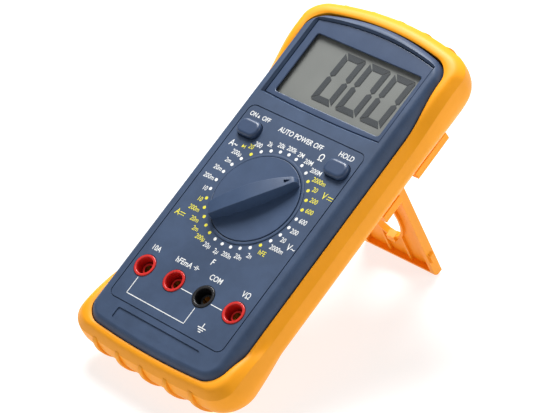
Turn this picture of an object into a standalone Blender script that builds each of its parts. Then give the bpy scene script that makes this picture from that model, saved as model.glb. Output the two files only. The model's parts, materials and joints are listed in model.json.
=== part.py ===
"""Handheld digital multimeter in a rubber holster, leaning on the holster's fold-out stand.

Everything is modelled in the meter's own frame, in millimetres: u to the right, v up along
the face towards the display, w out of the face. The origin is the dial's centre, on the face.
An empty then leans the whole meter back by LEAN and stands it on the floor at z = 0.
"""

import math

import bmesh
import bpy
from mathutils import Matrix, Vector

MM = 0.001
GAP = 0.3

# Plan of the case, which the holster wraps.
CASE_HALF_WIDTH = 43.3
CASE_TOP = 102.0
CASE_BOTTOM = -86.0
CASE_CORNER = 11.0
FACE_EDGE = 5.0
FACE_EDGE_DEPTH = 9.0
PARTING = -17.0
WALL = 2.4

# Radii of the arched top end and the bowed bottom end.
CASE_ARCH = (121.0, 412.0)
HOLSTER_ARCH = (160.0, 412.0)
LAND_ARCH = (160.0, math.inf)

# Holster.
HOLSTER_TOP = 108.6
HOLSTER_BOTTOM = -90.2
HOLSTER_BACK = -36.5
HOLSTER_FLOOR = -33.4
WAIST_LOW, WAIST_LOW_END = -50.0, -76.0
WAIST_HIGH, WAIST_HIGH_END = 50.0, 86.0
LEAN = math.radians(33.5)
LAND_FRONT = (-80.4, -32.6)
FIN_PITCH = 15.5
FIN_WIDTH = 2.7
FIN_BULGE = (5.9, 4.6)

# Dial, buttons and jacks.
DIAL_RADIUS = 22.0
DIAL_HOLE = 22.35
POINTER_ANGLE = math.radians(45)
BUTTON_U, BUTTON_V = 27.5, 28.5
BUTTON_LENGTH, BUTTON_DEPTH = 12.6, 8.6
JACK_PITCH = 19.0
JACK_V = -50.65
JACK_NAMES = ("ten_amp", "milliamp", "common", "volt_ohm")

# Circuit board and display.
BOARD_TOP, BOARD_BOTTOM = -9.5, -11.1
BOARD_HALF_WIDTH = 38.0
BOARD_LOW, BOARD_HIGH = -74.5, 88.9
WINDOW_HALF_WIDTH = 32.25
WINDOW_LOW, WINDOW_HIGH = 51.1, 85.1
BEZEL_HALF_WIDTH = 35.7
BEZEL_LOW, BEZEL_HIGH = 49.0, 95.6
BEZEL_ARCH = 162.0

# Screws.
CASE_SCREWS = ((-31.0, 92.6), (31.0, 92.6), (-33.5, -78.5), (33.5, -78.5))
BOARD_SCREWS = ((-34.5, 41.0), (34.5, 41.0), (0.0, -66.0))

# Battery.
BATTERY_SIZE = (48.5, 26.5, 17.5)
BATTERY_LEFT, BATTERY_V, BATTERY_BACK = -27.5, -58.0, -30.4
COVER_U = (-29.0, 29.0)
COVER_V = (-71.7, -43.7)
TAB_V = -38.0
COVER_SCREW_V = -40.6

# Stand, in its own frame: u across, s from the hinge to the foot, t towards the meter's foot end.
HINGE_V, HINGE_W = 51.5, -40.7
STAND_ANGLE = math.radians(7.4)
STAND_HALF_WIDTH = 23.0
STAND_HALF_THICKNESS = 2.4
EAR_U = (23.7, 27.4)
EAR_RADIUS = 4.7
PIVOT_RADIUS = 1.6
HOOK_ROOT = -35.2
HOOKS = ((57.5, 81.8), (32.0, 45.0))

COLORS = {
    "holster_rubber": ((0.95, 0.50, 0.04), 0.5, 0.0),
    "case_plastic": ((0.09, 0.13, 0.22), 0.6, 0.0),
    "button_plastic": ((0.08, 0.12, 0.21), 0.5, 0.0),
    "clear_plastic": ((0.75, 0.80, 0.80), 0.1, 0.0),
    "lcd": ((0.36, 0.40, 0.35), 0.3, 0.0),
    "dark_plastic": ((0.05, 0.05, 0.055), 0.5, 0.0),
    "red_plastic": ((0.60, 0.03, 0.03), 0.4, 0.0),
    "black_plastic": ((0.02, 0.02, 0.022), 0.4, 0.0),
    "board": ((0.05, 0.28, 0.12), 0.5, 0.0),
    "conductive_rubber": ((0.75, 0.45, 0.55), 0.7, 0.0),
    "brass": ((0.75, 0.60, 0.28), 0.3, 1.0),
    "steel": ((0.62, 0.62, 0.63), 0.3, 1.0),
    "copper_wire": ((0.75, 0.55, 0.35), 0.35, 1.0),
    "fuse_body": ((0.85, 0.85, 0.82), 0.2, 0.0),
    "battery_case": ((0.18, 0.18, 0.20), 0.4, 0.0),
    "red_wire": ((0.60, 0.03, 0.03), 0.5, 0.0),
    "black_wire": ((0.02, 0.02, 0.02), 0.5, 0.0),
}


def clear_scene():
    for old in list(bpy.data.objects):
        bpy.data.objects.remove(old)


def material(name):
    """The named Principled material, made on first use."""
    if name in bpy.data.materials:
        return bpy.data.materials[name]
    color, roughness, metallic = COLORS[name]
    made = bpy.data.materials.new(name)
    made.use_nodes = True
    shader = made.node_tree.nodes["Principled BSDF"]
    shader.inputs["Base Color"].default_value = (*color, 1.0)
    shader.inputs["Roughness"].default_value = roughness
    shader.inputs["Metallic"].default_value = metallic
    return made


def empty(name, parent=None):
    made = bpy.data.objects.new(name, None)
    bpy.context.collection.objects.link(made)
    made.parent = parent
    return made


def add(name, mesh_data, finish, parent, place=(0.0, 0.0, 0.0)):
    """Turns a bmesh in millimetres into an object in metres."""
    bmesh.ops.scale(mesh_data, vec=(MM, MM, MM), verts=mesh_data.verts)
    mesh = bpy.data.meshes.new(name)
    mesh_data.to_mesh(mesh)
    mesh_data.free()
    mesh.materials.append(material(finish))
    mesh.shade_smooth()
    mesh.set_sharp_from_angle(angle=math.radians(35))
    made = bpy.data.objects.new(name, mesh)
    bpy.context.collection.objects.link(made)
    made.parent = parent
    made.location = Vector(place) * MM
    return made


def as_cutter(guide):
    guide.hide_render = True
    guide.display_type = "WIRE"


def combine(target, other, operation):
    as_cutter(other)
    boolean = target.modifiers.new(other.name, "BOOLEAN")
    boolean.operation = operation
    boolean.object = other


def subtract(target, *cutters):
    for cutter in cutters:
        combine(target, cutter, "DIFFERENCE")


def unite(target, *others):
    for other in others:
        combine(target, other, "UNION")


# Shapes. Each returns a bmesh in millimetres.


def arc(center, radius, start, end, steps):
    """Points on a circular arc, angles in degrees, both ends included."""
    angles = [math.radians(start + (end - start) * i / steps) for i in range(steps + 1)]
    return [
        (center[0] + radius * math.cos(a), center[1] + radius * math.sin(a)) for a in angles
    ]


def rounded(u0, u1, v0, v1, radius, steps=3):
    """Outline of a rectangle with round corners, anticlockwise."""
    return (
        arc((u1 - radius, v0 + radius), radius, -90, 0, steps)
        + arc((u1 - radius, v1 - radius), radius, 0, 90, steps)
        + arc((u0 + radius, v1 - radius), radius, 90, 180, steps)
        + arc((u0 + radius, v0 + radius), radius, 180, 270, steps)
    )


def loft(rings):
    """Closed solid through rings of equal length, each a list of (u, v, w), with flat end caps."""
    shape = bmesh.new()
    grid = [[shape.verts.new(point) for point in ring] for ring in rings]
    count = len(rings[0])
    for low, high in zip(grid, grid[1:]):
        for i in range(count):
            j = (i + 1) % count
            shape.faces.new((low[i], low[j], high[j], high[i]))
    shape.faces.new(grid[0][::-1])
    shape.faces.new(grid[-1])
    bmesh.ops.recalc_face_normals(shape, faces=shape.faces)
    return shape


def prism(outline, low, high):
    """An outline in (u, v), extruded along w."""
    return loft([[(u, v, w) for u, v in outline] for w in (low, high)])


def side_prism(outline, u0, u1):
    """An outline in (v, w), extruded along u."""
    return loft([[(u, v, w) for v, w in outline] for u in (u0, u1)])


def end_prism(outline, v0, v1):
    """An outline in (u, w), extruded along v."""
    return loft([[(u, v, w) for u, w in outline] for v in (v0, v1)])


def block(u0, u1, v0, v1, w0, w1):
    return prism(((u0, v0), (u1, v0), (u1, v1), (u0, v1)), w0, w1)


def cylinder(radius, low, high, segments=20, center=(0.0, 0.0)):
    return prism(arc(center, radius, 0, 360 - 360 / segments, segments - 1), low, high)


def turned(profile, segments=20):
    """A closed profile of (radius, w) turned about the w axis. Radii are all above zero."""
    shape = bmesh.new()
    loops = []
    for i in range(segments):
        angle = 2 * math.pi * i / segments
        loops.append(
            [shape.verts.new((r * math.cos(angle), r * math.sin(angle), w)) for r, w in profile]
        )
    count = len(profile)
    for i, loop in enumerate(loops):
        following = loops[(i + 1) % segments]
        for k in range(count):
            m = (k + 1) % count
            shape.faces.new((loop[k], following[k], following[m], loop[m]))
    bmesh.ops.recalc_face_normals(shape, faces=shape.faces)
    return shape


def wire(name, points, radius, finish, parent, sides=1):
    """A round wire along a polyline, as a bevelled curve with closed ends."""
    curve = bpy.data.curves.new(name, "CURVE")
    curve.dimensions = "3D"
    curve.bevel_depth = radius * MM
    curve.bevel_resolution = sides
    curve.use_fill_caps = True
    spline = curve.splines.new("POLY")
    spline.points.add(len(points) - 1)
    for slot, point in zip(spline.points, points):
        slot.co = (*(Vector(point) * MM), 1.0)
    curve.materials.append(material(finish))
    made = bpy.data.objects.new(name, curve)
    bpy.context.collection.objects.link(made)
    made.parent = parent
    return made


# The plan that the case and the holster share.


def plan(half_width, top, bottom, corner, corner_steps=6, side_steps=12, end_steps=6):
    """Rounded plan, anticlockwise from the lower left corner."""
    corners = (
        ((-half_width + corner, bottom + corner), 180),
        ((half_width - corner, bottom + corner), 270),
        ((half_width - corner, top - corner), 0),
        ((-half_width + corner, top - corner), 90),
    )
    points = []
    for index, (center, start) in enumerate(corners):
        points += arc(center, corner, start, start + 90, corner_steps)
        ahead_center, ahead_start = corners[(index + 1) % 4]
        ahead = arc(ahead_center, corner, ahead_start, ahead_start + 90, corner_steps)[0]
        here = points[-1]
        steps = end_steps if index % 2 == 0 else side_steps
        for i in range(1, steps):
            share = i / steps
            points.append(
                (here[0] + (ahead[0] - here[0]) * share, here[1] + (ahead[1] - here[1]) * share)
            )
    return points


def arched(points, top, bottom, arch):
    """Bends both ends of a plan outwards, to arch's radii at the top and the bottom."""
    bent = []
    for u, v in points:
        end, radius, way = (top, arch[0], -1) if v > 0 else (bottom, arch[1], 1)
        bent.append((u, v + way * u * u / (2 * radius) * (v / end) ** 4))
    return bent


def smooth_step(low, high, value):
    share = min(1.0, max(0.0, (value - low) / (high - low)))
    return share * share * (3 - 2 * share)


def bumper(v, high_share):
    """0 along the holster's waist, 1 round its thick lower end, high_share round its upper."""
    low = smooth_step(WAIST_LOW, WAIST_LOW_END, v)
    return low + high_share * smooth_step(WAIST_HIGH, WAIST_HIGH_END, v)


def holster_ring(waist, end, top, bottom, corner, high_share=1.0, arch=HOLSTER_ARCH):
    """One ring of the holster. waist and end are its (half width, w) there."""
    ring = []
    for u, v in arched(plan(end[0], top, bottom, corner), top, bottom, arch):
        share = bumper(v, high_share)
        width = waist[0] + (end[0] - waist[0]) * share
        ring.append((u * width / end[0], v, waist[1] + (end[1] - waist[1]) * share))
    return ring


def case_ring(inset, w, corner=None):
    """The case's plan, moved in by inset, at height w."""
    top, bottom = CASE_TOP - inset, CASE_BOTTOM + inset
    radius = CASE_CORNER - inset if corner is None else corner
    points = plan(CASE_HALF_WIDTH - inset, top, bottom, radius, 4, 3, 6)
    return [(u, v, w) for u, v in arched(points, top, bottom, CASE_ARCH)]


def holster_shell():
    """Outer rings from the back up to the lip, then the pocket's rings down to its floor.

    The bevel between the first two rings lies flat on the floor when the meter leans.
    """
    land_back = LAND_FRONT[0] + (LAND_FRONT[1] - HOLSTER_BACK) / math.tan(LEAN)
    outside = (
        ((30.0, HOLSTER_BACK), (32.0, HOLSTER_BACK), 91.0, land_back, 12.0, 0.3, LAND_ARCH),
        ((35.2, -33.8), (38.3, LAND_FRONT[1]), 97.5, LAND_FRONT[0], 14.0, 0.3, LAND_ARCH),
        ((40.2, -29.2), (44.3, -27.2), 103.0, -85.4, 15.0, 0.3),
        ((44.6, -24.1), (49.4, -20.8), 107.0, -88.8, 14.0, 0.2),
        ((48.4, -18.2), (51.3, -15.3), HOLSTER_TOP, HOLSTER_BOTTOM, 12.8, 0.25),
        ((48.8, -14.0), (50.7, -10.0), HOLSTER_TOP + 0.3, HOLSTER_BOTTOM, 10.5, 0.6),
        ((47.6, -10.2), (48.8, -5.4), 108.0, -89.6, 8.6),
        ((45.8, -7.9), (46.4, -2.9), 105.2, -87.8, 8.5),
        ((44.3, -6.2), (44.1, -2.2), 102.4, -86.1, 8.8),
        ((43.6, -6.0), (42.2, -2.6), 100.9, -84.9, 9.4),
    )
    inside = (
        ((43.7, -7.6), (43.35, -5.6), 102.05, -86.05, 11.0, 1.0, CASE_ARCH),
        ((43.7, -9.2), (43.7, -9.0), 102.4, -86.4, 11.4, 1.0, CASE_ARCH),
        ((43.7, -17.3), (43.7, -17.3), 102.4, -86.4, 11.4, 1.0, CASE_ARCH),
        ((42.7, -21.7), (42.7, -21.7), 101.4, -85.4, 11.4, 1.0, CASE_ARCH),
        ((39.7, -26.4), (39.7, -26.4), 98.4, -82.4, 11.4, 1.0, CASE_ARCH),
        ((35.7, -30.4), (35.7, -30.4), 94.4, -78.4, 10.0, 1.0, CASE_ARCH),
        ((31.0, HOLSTER_FLOOR), (31.0, HOLSTER_FLOOR), 89.7, -73.7, 8.0, 1.0, CASE_ARCH),
    )
    return loft([holster_ring(*row) for row in outside + inside])


def fin(u, mirrored):
    """A crescent rib on an end wall, running from its front to its back."""
    start, end = (HOLSTER_BOTTOM + 2.0, -5.0), (HOLSTER_BOTTOM + 3.6, -26.6)
    crescent = []
    steps = 8
    for i in range(steps + 1):
        share = i / steps
        lift = FIN_BULGE[mirrored] * math.sin(math.pi * share) ** 0.75
        v = start[0] + (end[0] - start[0]) * share - lift
        crescent.append((v, start[1] + (end[1] - start[1]) * share))
    crescent += [(HOLSTER_BOTTOM + 1.8, -20.0), (HOLSTER_BOTTOM + 1.6, -11.0)]
    shift = u * u / (2 * HOLSTER_ARCH[0 if mirrored else 1])
    if mirrored:
        moved = [(HOLSTER_TOP + HOLSTER_BOTTOM - v - shift, w) for v, w in crescent]
    else:
        moved = [(v + shift, w) for v, w in crescent]
    return side_prism(moved, u - FIN_WIDTH / 2, u + FIN_WIDTH / 2)


def hook_profile(side):
    """Section of a probe hook: a web off the back and a plate that turns outwards."""
    inner, outer = EAR_U
    tip, under, face = 31.0, -43.0, -48.0
    points = (
        (inner, HOOK_ROOT),
        (inner, face + 0.8),
        (inner + 0.8, face),
        (tip - 0.8, face),
        (tip, face + 0.8),
        (tip, under - 0.4),
        (tip - 0.4, under),
        (outer + 0.8, under),
        (outer, under + 0.8),
        (outer, HOOK_ROOT),
    )
    return [(side * u, w) for u, w in points]


def make_holster(frame):
    holster = add("holster", holster_shell(), "holster_rubber", frame)
    for end in ("bottom", "top"):
        for index in range(-2, 3):
            rib = add(
                f"guide_fin_{end}_{index + 3}",
                fin(index * FIN_PITCH, end == "top"),
                "holster_rubber",
                frame,
            )
            unite(holster, rib)
    for side, label in ((-1, "left"), (1, "right")):
        for index, (low, high) in enumerate(HOOKS):
            hook = end_prism(hook_profile(side), low, high)
            unite(holster, add(f"guide_hook_{label}_{index}", hook, "holster_rubber", frame))
        u0, u1 = sorted((side * EAR_U[0], side * EAR_U[1]))
        lobe = arc((HINGE_V, HINGE_W), EAR_RADIUS, 180, 360, 8)
        lobe += [(HINGE_V + EAR_RADIUS, HOOK_ROOT), (HINGE_V - EAR_RADIUS, HOOK_ROOT)]
        ear = side_prism(lobe, u0 + 0.05, u1 - 0.05)
        unite(holster, add(f"guide_ear_{label}", ear, "holster_rubber", frame))
        hole = side_prism(arc((HINGE_V, HINGE_W), PIVOT_RADIUS + GAP, 0, 345, 15), u0 - 1, u1 + 1)
        subtract(holster, add(f"cut_pivot_{label}", hole, "holster_rubber", frame))
    return holster


# Case shells.


def face_edge_rings():
    """The rounded edge of the face, from the flat to the side wall: a quarter ellipse."""
    rings = []
    for degrees in (90, 67.5, 45, 22.5, 0):
        angle = math.radians(degrees)
        inset = FACE_EDGE * (1 - math.sin(angle))
        rings.append(case_ring(inset, -FACE_EDGE_DEPTH * (1 - math.cos(angle))))
    return rings


def bezel_outline(grow=0.0):
    """The display panel's outline: arched above, bowed a little below."""
    half = BEZEL_HALF_WIDTH + grow
    steps = 8
    low = [
        (-half + 2 * half * i / steps, BEZEL_LOW - grow - 1.0 * (1 - (2 * i / steps - 1) ** 2))
        for i in range(steps + 1)
    ]
    high = []
    for i in range(steps + 1):
        u = half - 2 * half * i / steps
        high.append((u, BEZEL_HIGH + grow - u * u / (2 * BEZEL_ARCH)))
    return low + high


def button_outline(grow=0.0):
    """A rectangle with generous corner bevels, nearly an oval."""
    half, deep = BUTTON_LENGTH / 2 + grow, BUTTON_DEPTH / 2 + grow
    return rounded(-half, half, -deep, deep, deep - 0.6, steps=4)


def make_front_case(frame):
    outer = [case_ring(0.0, PARTING)] + face_edge_rings()
    front = add("front_case", loft(outer), "case_plastic", frame)
    cavity = add(
        "cut_front_cavity",
        loft([
            case_ring(WALL, PARTING - 1),
            case_ring(WALL, -FACE_EDGE_DEPTH),
            case_ring(WALL + 1.5, -WALL - 2.2),
            case_ring(WALL + 4.0, -WALL - 0.1),
        ]),
        "case_plastic",
        frame,
    )
    for index, place in enumerate(CASE_SCREWS):
        post = cylinder(3.0, PARTING - 2, 1, 12, place)
        subtract(cavity, add(f"keep_case_post_{index}", post, "case_plastic", frame))
    for index, place in enumerate(BOARD_SCREWS):
        post = cylinder(2.8, BOARD_TOP + GAP, 1, 12, place)
        subtract(cavity, add(f"keep_board_post_{index}", post, "case_plastic", frame))
    subtract(front, cavity)
    rim_section = ((23.7, -1.2), (23.7, 0.25), (23.2, 0.45), (22.6, 0.45), (22.0, 0.2), (22.0, -1.2))
    rim = turned(rim_section, 48)
    unite(front, add("guide_dial_rim", rim, "case_plastic", frame))
    openings = [
        ("dial", cylinder(DIAL_HOLE, -5, 5, 48)),
        ("display", prism(bezel_outline(GAP), -5, 5)),
    ]
    for index in range(4):
        place = (JACK_PITCH * (index - 1.5), JACK_V)
        openings.append((f"jack_{index}", cylinder(5.1, -5, 5, 20, place)))
        openings.append((f"jack_seat_{index}", cylinder(5.8, -0.8, 5, 20, place)))
    for index, place in enumerate(CASE_SCREWS):
        openings.append((f"case_screw_{index}", cylinder(1.5, PARTING - 2, -7, 10, place)))
    for index, place in enumerate(BOARD_SCREWS):
        openings.append((f"board_screw_{index}", cylinder(1.3, BOARD_TOP - 2, -4, 10, place)))
    for name, shape in openings:
        subtract(front, add(f"cut_{name}", shape, "case_plastic", frame))
    for side, label in ((-1, "power"), (1, "hold")):
        hole = prism(button_outline(0.35), -5, 5)
        place = (side * BUTTON_U, BUTTON_V, 0.0)
        subtract(front, add(f"cut_{label}_hole", hole, "case_plastic", frame, place))
    return front


def cover_outline(grow=0.0):
    return rounded(
        COVER_U[0] - grow, COVER_U[1] + grow, COVER_V[0] - grow, COVER_V[1] + grow, 6.0 + grow
    )


def make_rear_case(frame):
    outer = [
        case_ring(0.0, PARTING - GAP),
        case_ring(1.0, -21.5, 11.0),
        case_ring(4.0, -26.0, 11.0),
        case_ring(8.2, -30.0, 9.6),
        case_ring(13.0, -33.0, 7.6),
    ]
    rear = add("rear_case", loft(outer), "case_plastic", frame)
    cavity = add(
        "cut_rear_cavity",
        loft([
            case_ring(WALL, PARTING + 2),
            case_ring(WALL, PARTING - GAP - 1),
            case_ring(WALL + 1.4, -20.8, 8.6),
            case_ring(WALL + 4.4, -25.0, 8.6),
            case_ring(WALL + 8.4, -28.6, 8.0),
            case_ring(WALL + 12.0, -30.7, 6.0),
        ]),
        "case_plastic",
        frame,
    )
    for index, place in enumerate(CASE_SCREWS):
        post = cylinder(4.4, -40, PARTING + 1, 12, place)
        subtract(cavity, add(f"keep_rear_post_{index}", post, "case_plastic", frame))
    cover_post = block(-6.5, 6.5, COVER_V[1] + GAP, TAB_V + 1.6, -40, -26.5)
    subtract(cavity, add("keep_cover_post", cover_post, "case_plastic", frame))
    subtract(rear, cavity)
    mouth = prism(cover_outline(GAP), -40, -20)
    tab_seat = block(-5.3, 5.3, COVER_V[1] - 1, TAB_V + GAP, -40, -30.9)
    openings = [("battery_mouth", mouth), ("tab_seat", tab_seat)]
    openings.append(("cover_screw", cylinder(1.4, -40, -27.4, 10, (0.0, COVER_SCREW_V))))
    for index, place in enumerate(CASE_SCREWS):
        openings.append((f"screw_head_{index}", cylinder(2.7, -40, -22.0, 12, place)))
        openings.append((f"screw_way_{index}", cylinder(1.6, -40, PARTING + 2, 10, place)))
    for name, shape in openings:
        subtract(rear, add(f"cut_rear_{name}", shape, "case_plastic", frame))
    return rear


def screw_shape(head_radius, head_low, seat, tip, shaft_radius):
    """A pan-head screw pointing along +w, with a cross recess cut later."""
    return turned_solid(
        (
            (head_radius * 0.75, head_low),
            (head_radius, head_low + 0.4),
            (head_radius, seat),
            (shaft_radius, seat),
            (shaft_radius, tip - 1.0),
            (shaft_radius * 0.4, tip),
        ),
        10,
    )


def turned_solid(profile, segments=16):
    """A profile of (radius, w) rising along w, turned about w, with flat ends."""
    rings = []
    for radius, w in profile:
        points = arc((0.0, 0.0), radius, 0, 360 - 360 / segments, segments - 1)
        rings.append([(u, v, w) for u, v in points])
    return loft(rings)


def add_cross_recess(screw, frame, place, low, reach, half):
    """Cuts a plus-shaped driver recess into a screw head."""
    for index, (a, b) in enumerate(((reach, half), (half, reach))):
        slot = block(-a, a, -b, b, low - 1, low + 0.7)
        subtract(screw, add(f"cut_{screw.name}_{index}", slot, "steel", frame, place))


def make_screws(frame):
    for index, (u, v) in enumerate(CASE_SCREWS):
        place = (u, v, 0.0)
        shape = screw_shape(2.4, -24.0, -22.0 - GAP, -8.0, 1.2)
        screw = add(f"case_screw_{index + 1}", shape, "steel", frame, place)
        add_cross_recess(screw, frame, place, -24.0, 1.5, 0.4)
    for index, (u, v) in enumerate(BOARD_SCREWS):
        place = (u, v, 0.0)
        head_low = BOARD_BOTTOM - 1.5
        shape = screw_shape(2.3, head_low, BOARD_BOTTOM - GAP, -5.0, 1.0)
        screw = add(f"board_screw_{index + 1}", shape, "steel", frame, place)
        add_cross_recess(screw, frame, place, head_low, 1.3, 0.35)
    place = (0.0, COVER_SCREW_V, 0.0)
    shape = screw_shape(2.2, -33.0, -32.1, -28.2, 1.0)
    screw = add("battery_cover_screw", shape, "steel", frame, place)
    add_cross_recess(screw, frame, place, -33.0, 1.2, 0.35)


# Display.


def frame_plate(u, v0, v1, inner_u, inner_v0, inner_v1, low, high, radius):
    """A rectangular frame: outer outline with a window through it, as two prisms."""
    return (
        prism(rounded(-u, u, v0, v1, radius), low, high),
        prism(rounded(-inner_u, inner_u, inner_v0, inner_v1, 0.6), low - 1, high + 1),
    )


def make_display(frame):
    bezel = add("display_bezel", prism(bezel_outline(), -2.4, -1.4), "case_plastic", frame)
    window_hole = prism(
        rounded(-WINDOW_HALF_WIDTH, WINDOW_HALF_WIDTH, WINDOW_LOW, WINDOW_HIGH, 2.0), -5, 5
    )
    subtract(bezel, add("cut_window_hole", window_hole, "case_plastic", frame))
    add("display_window", block(-34.8, 34.8, 48.6, 89.0, -3.3, -2.4 - GAP), "clear_plastic", frame)
    add("lcd_glass", block(-33.8, 33.8, 48.8, 87.4, -6.4, -3.3 - GAP), "lcd", frame)
    outline, hole = frame_plate(37.4, 46.4, 89.2, 34.2, 48.4, 87.8, BOARD_TOP + GAP, -3.3 - GAP, 1.5)
    holder = add("lcd_holder", outline, "dark_plastic", frame)
    subtract(holder, add("cut_lcd_holder", hole, "dark_plastic", frame))
    for label, v in (("lower", 50.6), ("upper", 85.6)):
        strip = block(-32.0, 32.0, v - 1.2, v + 1.2, BOARD_TOP + GAP, -6.4 - GAP)
        add(f"zebra_strip_{label}", strip, "conductive_rubber", frame)


# Circuit board and what sits on it.


def make_board(frame):
    outline = rounded(-BOARD_HALF_WIDTH, BOARD_HALF_WIDTH, BOARD_LOW, BOARD_HIGH, 6.0, steps=3)
    board = add("main_board", prism(outline, BOARD_BOTTOM, BOARD_TOP), "board", frame)
    holes = [(1.4, place) for place in BOARD_SCREWS]
    holes += [(2.7, (JACK_PITCH * (index - 1.5), JACK_V)) for index in range(4)]
    for index, (radius, place) in enumerate(holes):
        hole = cylinder(radius, BOARD_BOTTOM - 1, BOARD_TOP + 1, 12, place)
        subtract(board, add(f"cut_board_{index}", hole, "board", frame))


def make_components(frame):
    back = BOARD_BOTTOM - GAP
    add("converter_chip", block(-9.0, 9.0, 16.0, 34.0, back - 2.4, back), "dark_plastic", frame)
    add("trimmer", block(17.0, 23.5, 6.0, 12.5, back - 4.6, back), "board", frame)
    add("buzzer", cylinder(9.0, back - 3.0, back, 20, (24.0, -20.0)), "dark_plastic", frame)
    can = end_prism(arc((-24.0, back - 3.3), 3.2, 0, 337.5, 15), 2.0, 13.0)
    add("electrolytic_capacitor", can, "dark_plastic", frame)
    shunt_path = [(-22.0, back), (-22.0, back - 3.2), (-20.8, back - 4.4)]
    shunt_path += [(-4.2, back - 4.4), (-3.0, back - 3.2), (-3.0, back)]
    wire("current_shunt", [(u, -38.5, w) for u, w in shunt_path], 0.9, "copper_wire", frame, 2)


def make_fuse(frame, label, v, u0, u1, radius):
    """A cartridge fuse with a wider cap at each end, held in two spring clips."""
    center_w = BOARD_BOTTOM - GAP - 1.2 - radius
    length, cap = u1 - u0, 5.0
    profile = (
        (radius, 0.0),
        (radius, cap),
        (radius - 0.4, cap + 0.01),
        (radius - 0.4, length - cap - 0.01),
        (radius, length - cap),
        (radius, length),
    )
    fuse = add(f"fuse_{label}", turned_solid(profile, 14), "fuse_body", frame, (u0, v, center_w))
    fuse.rotation_euler = (0.0, math.pi / 2, 0.0)
    for index, start in enumerate((u0 + 0.6, u1 - 4.2)):
        outline = (
            (v - radius - 1.2, BOARD_BOTTOM - GAP),
            (v - radius - 1.2, center_w - radius * 0.6),
            (v + radius + 1.2, center_w - radius * 0.6),
            (v + radius + 1.2, BOARD_BOTTOM - GAP),
        )
        clip = add(
            f"fuse_clip_{label}_{index + 1}", side_prism(outline, start, start + 3.6), "brass", frame
        )
        bed = arc((v, center_w), radius + GAP, 0, 180, 10)
        bed += [(v - radius - GAP, center_w - 9), (v + radius + GAP, center_w - 9)]
        cut = side_prism(bed, start - 1, start + 4.6)
        subtract(clip, add(f"cut_clip_{label}_{index}", cut, "brass", frame))


def make_jacks(frame):
    for index, name in enumerate(JACK_NAMES):
        place = (JACK_PITCH * (index - 1.5), JACK_V, 0.0)
        finish = "black_plastic" if name == "common" else "red_plastic"
        sleeve = (
            (4.8, BOARD_TOP + GAP),
            (4.8, -0.5),
            (5.5, -0.5),
            (5.5, 0.15),
            (5.25, 0.4),
            (4.45, 0.4),
            (4.2, 0.15),
            (4.2, -8.0),
            (3.0, -8.0),
            (3.0, -3.4),
            (2.62, -3.4),
            (2.62, BOARD_TOP + GAP),
        )
        add(f"jack_sleeve_{name}", turned(sleeve, 18), finish, frame, place)
        contact = turned_solid(((1.0, -12.4), (2.32, -11.9), (2.32, -3.8)), 16)
        socket = add(f"jack_socket_{name}", contact, "brass", frame, place)
        bore = cylinder(2.0, -11.2, 0.0, 16)
        subtract(socket, add(f"cut_socket_{name}", bore, "brass", frame, place))


# Rotary switch.


def make_dial(frame):
    """The knob, the rotor clipped to its hub, the wipers and the two detent balls on springs."""
    spin = empty("dial_axis", frame)
    disc = turned_solid(
        (
            (DIAL_RADIUS - 0.3, -1.8),
            (DIAL_RADIUS, -1.5),
            (DIAL_RADIUS, 0.5),
            (DIAL_RADIUS - 0.5, 1.0),
            (DIAL_RADIUS - 2.2, 1.0),
            (DIAL_RADIUS - 3.4, 0.6),
        ),
        48,
    )
    knob = add("range_knob", disc, "case_plastic", spin)
    unite(knob, add("guide_pointer", pointer_bar(), "case_plastic", spin))
    hub = block(-5.0, 5.0, -5.0, 5.0, -7.4, -1.0)
    unite(knob, add("guide_hub", hub, "case_plastic", spin))
    notch = prism(arrow_outline(), 4.6, 9.0)
    subtract(knob, add("cut_arrow", notch, "case_plastic", spin))

    rotor = add("switch_rotor", cylinder(26.5, -8.0, -4.4, 36), "dark_plastic", spin)
    subtract(rotor, add("cut_hub_socket", block(-5.3, 5.3, -5.3, 5.3, -9, 0), "dark_plastic", spin))
    for side, label in ((-1, "left"), (1, "right")):
        place = (side * 24.2, 0.0)
        pocket = cylinder(1.6, -7.7, 0.0, 12, place)
        subtract(rotor, add(f"cut_pocket_{label}", pocket, "dark_plastic", spin))
        ball = bmesh.new()
        bmesh.ops.create_icosphere(ball, subdivisions=2, radius=1.3)
        add(f"detent_ball_{label}", ball, "steel", spin, (*place, -4.15))
        turns, per_turn, rise = 3, 10, 1.25
        helix = []
        for i in range(turns * per_turn + 1):
            angle = 2 * math.pi * i / per_turn
            height = -7.2 + rise * i / (turns * per_turn)
            helix.append((place[0] + 0.95 * math.cos(angle), 0.95 * math.sin(angle), height))
        wire(f"detent_spring_{label}", helix, 0.15, "steel", spin)
    for index in range(3):
        angle = POINTER_ANGLE + 2 * math.pi * index / 3
        radius = (10.5, 13.5, 16.5)[index]
        shape = rounded(radius - 1.2, radius + 1.2, -4.0, 4.0, 1.0, steps=2)
        wiper = add(f"wiper_{index + 1}", prism(shape, -9.1, -8.0 - GAP), "brass", spin)
        wiper.rotation_euler = (0.0, 0.0, angle)


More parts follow.
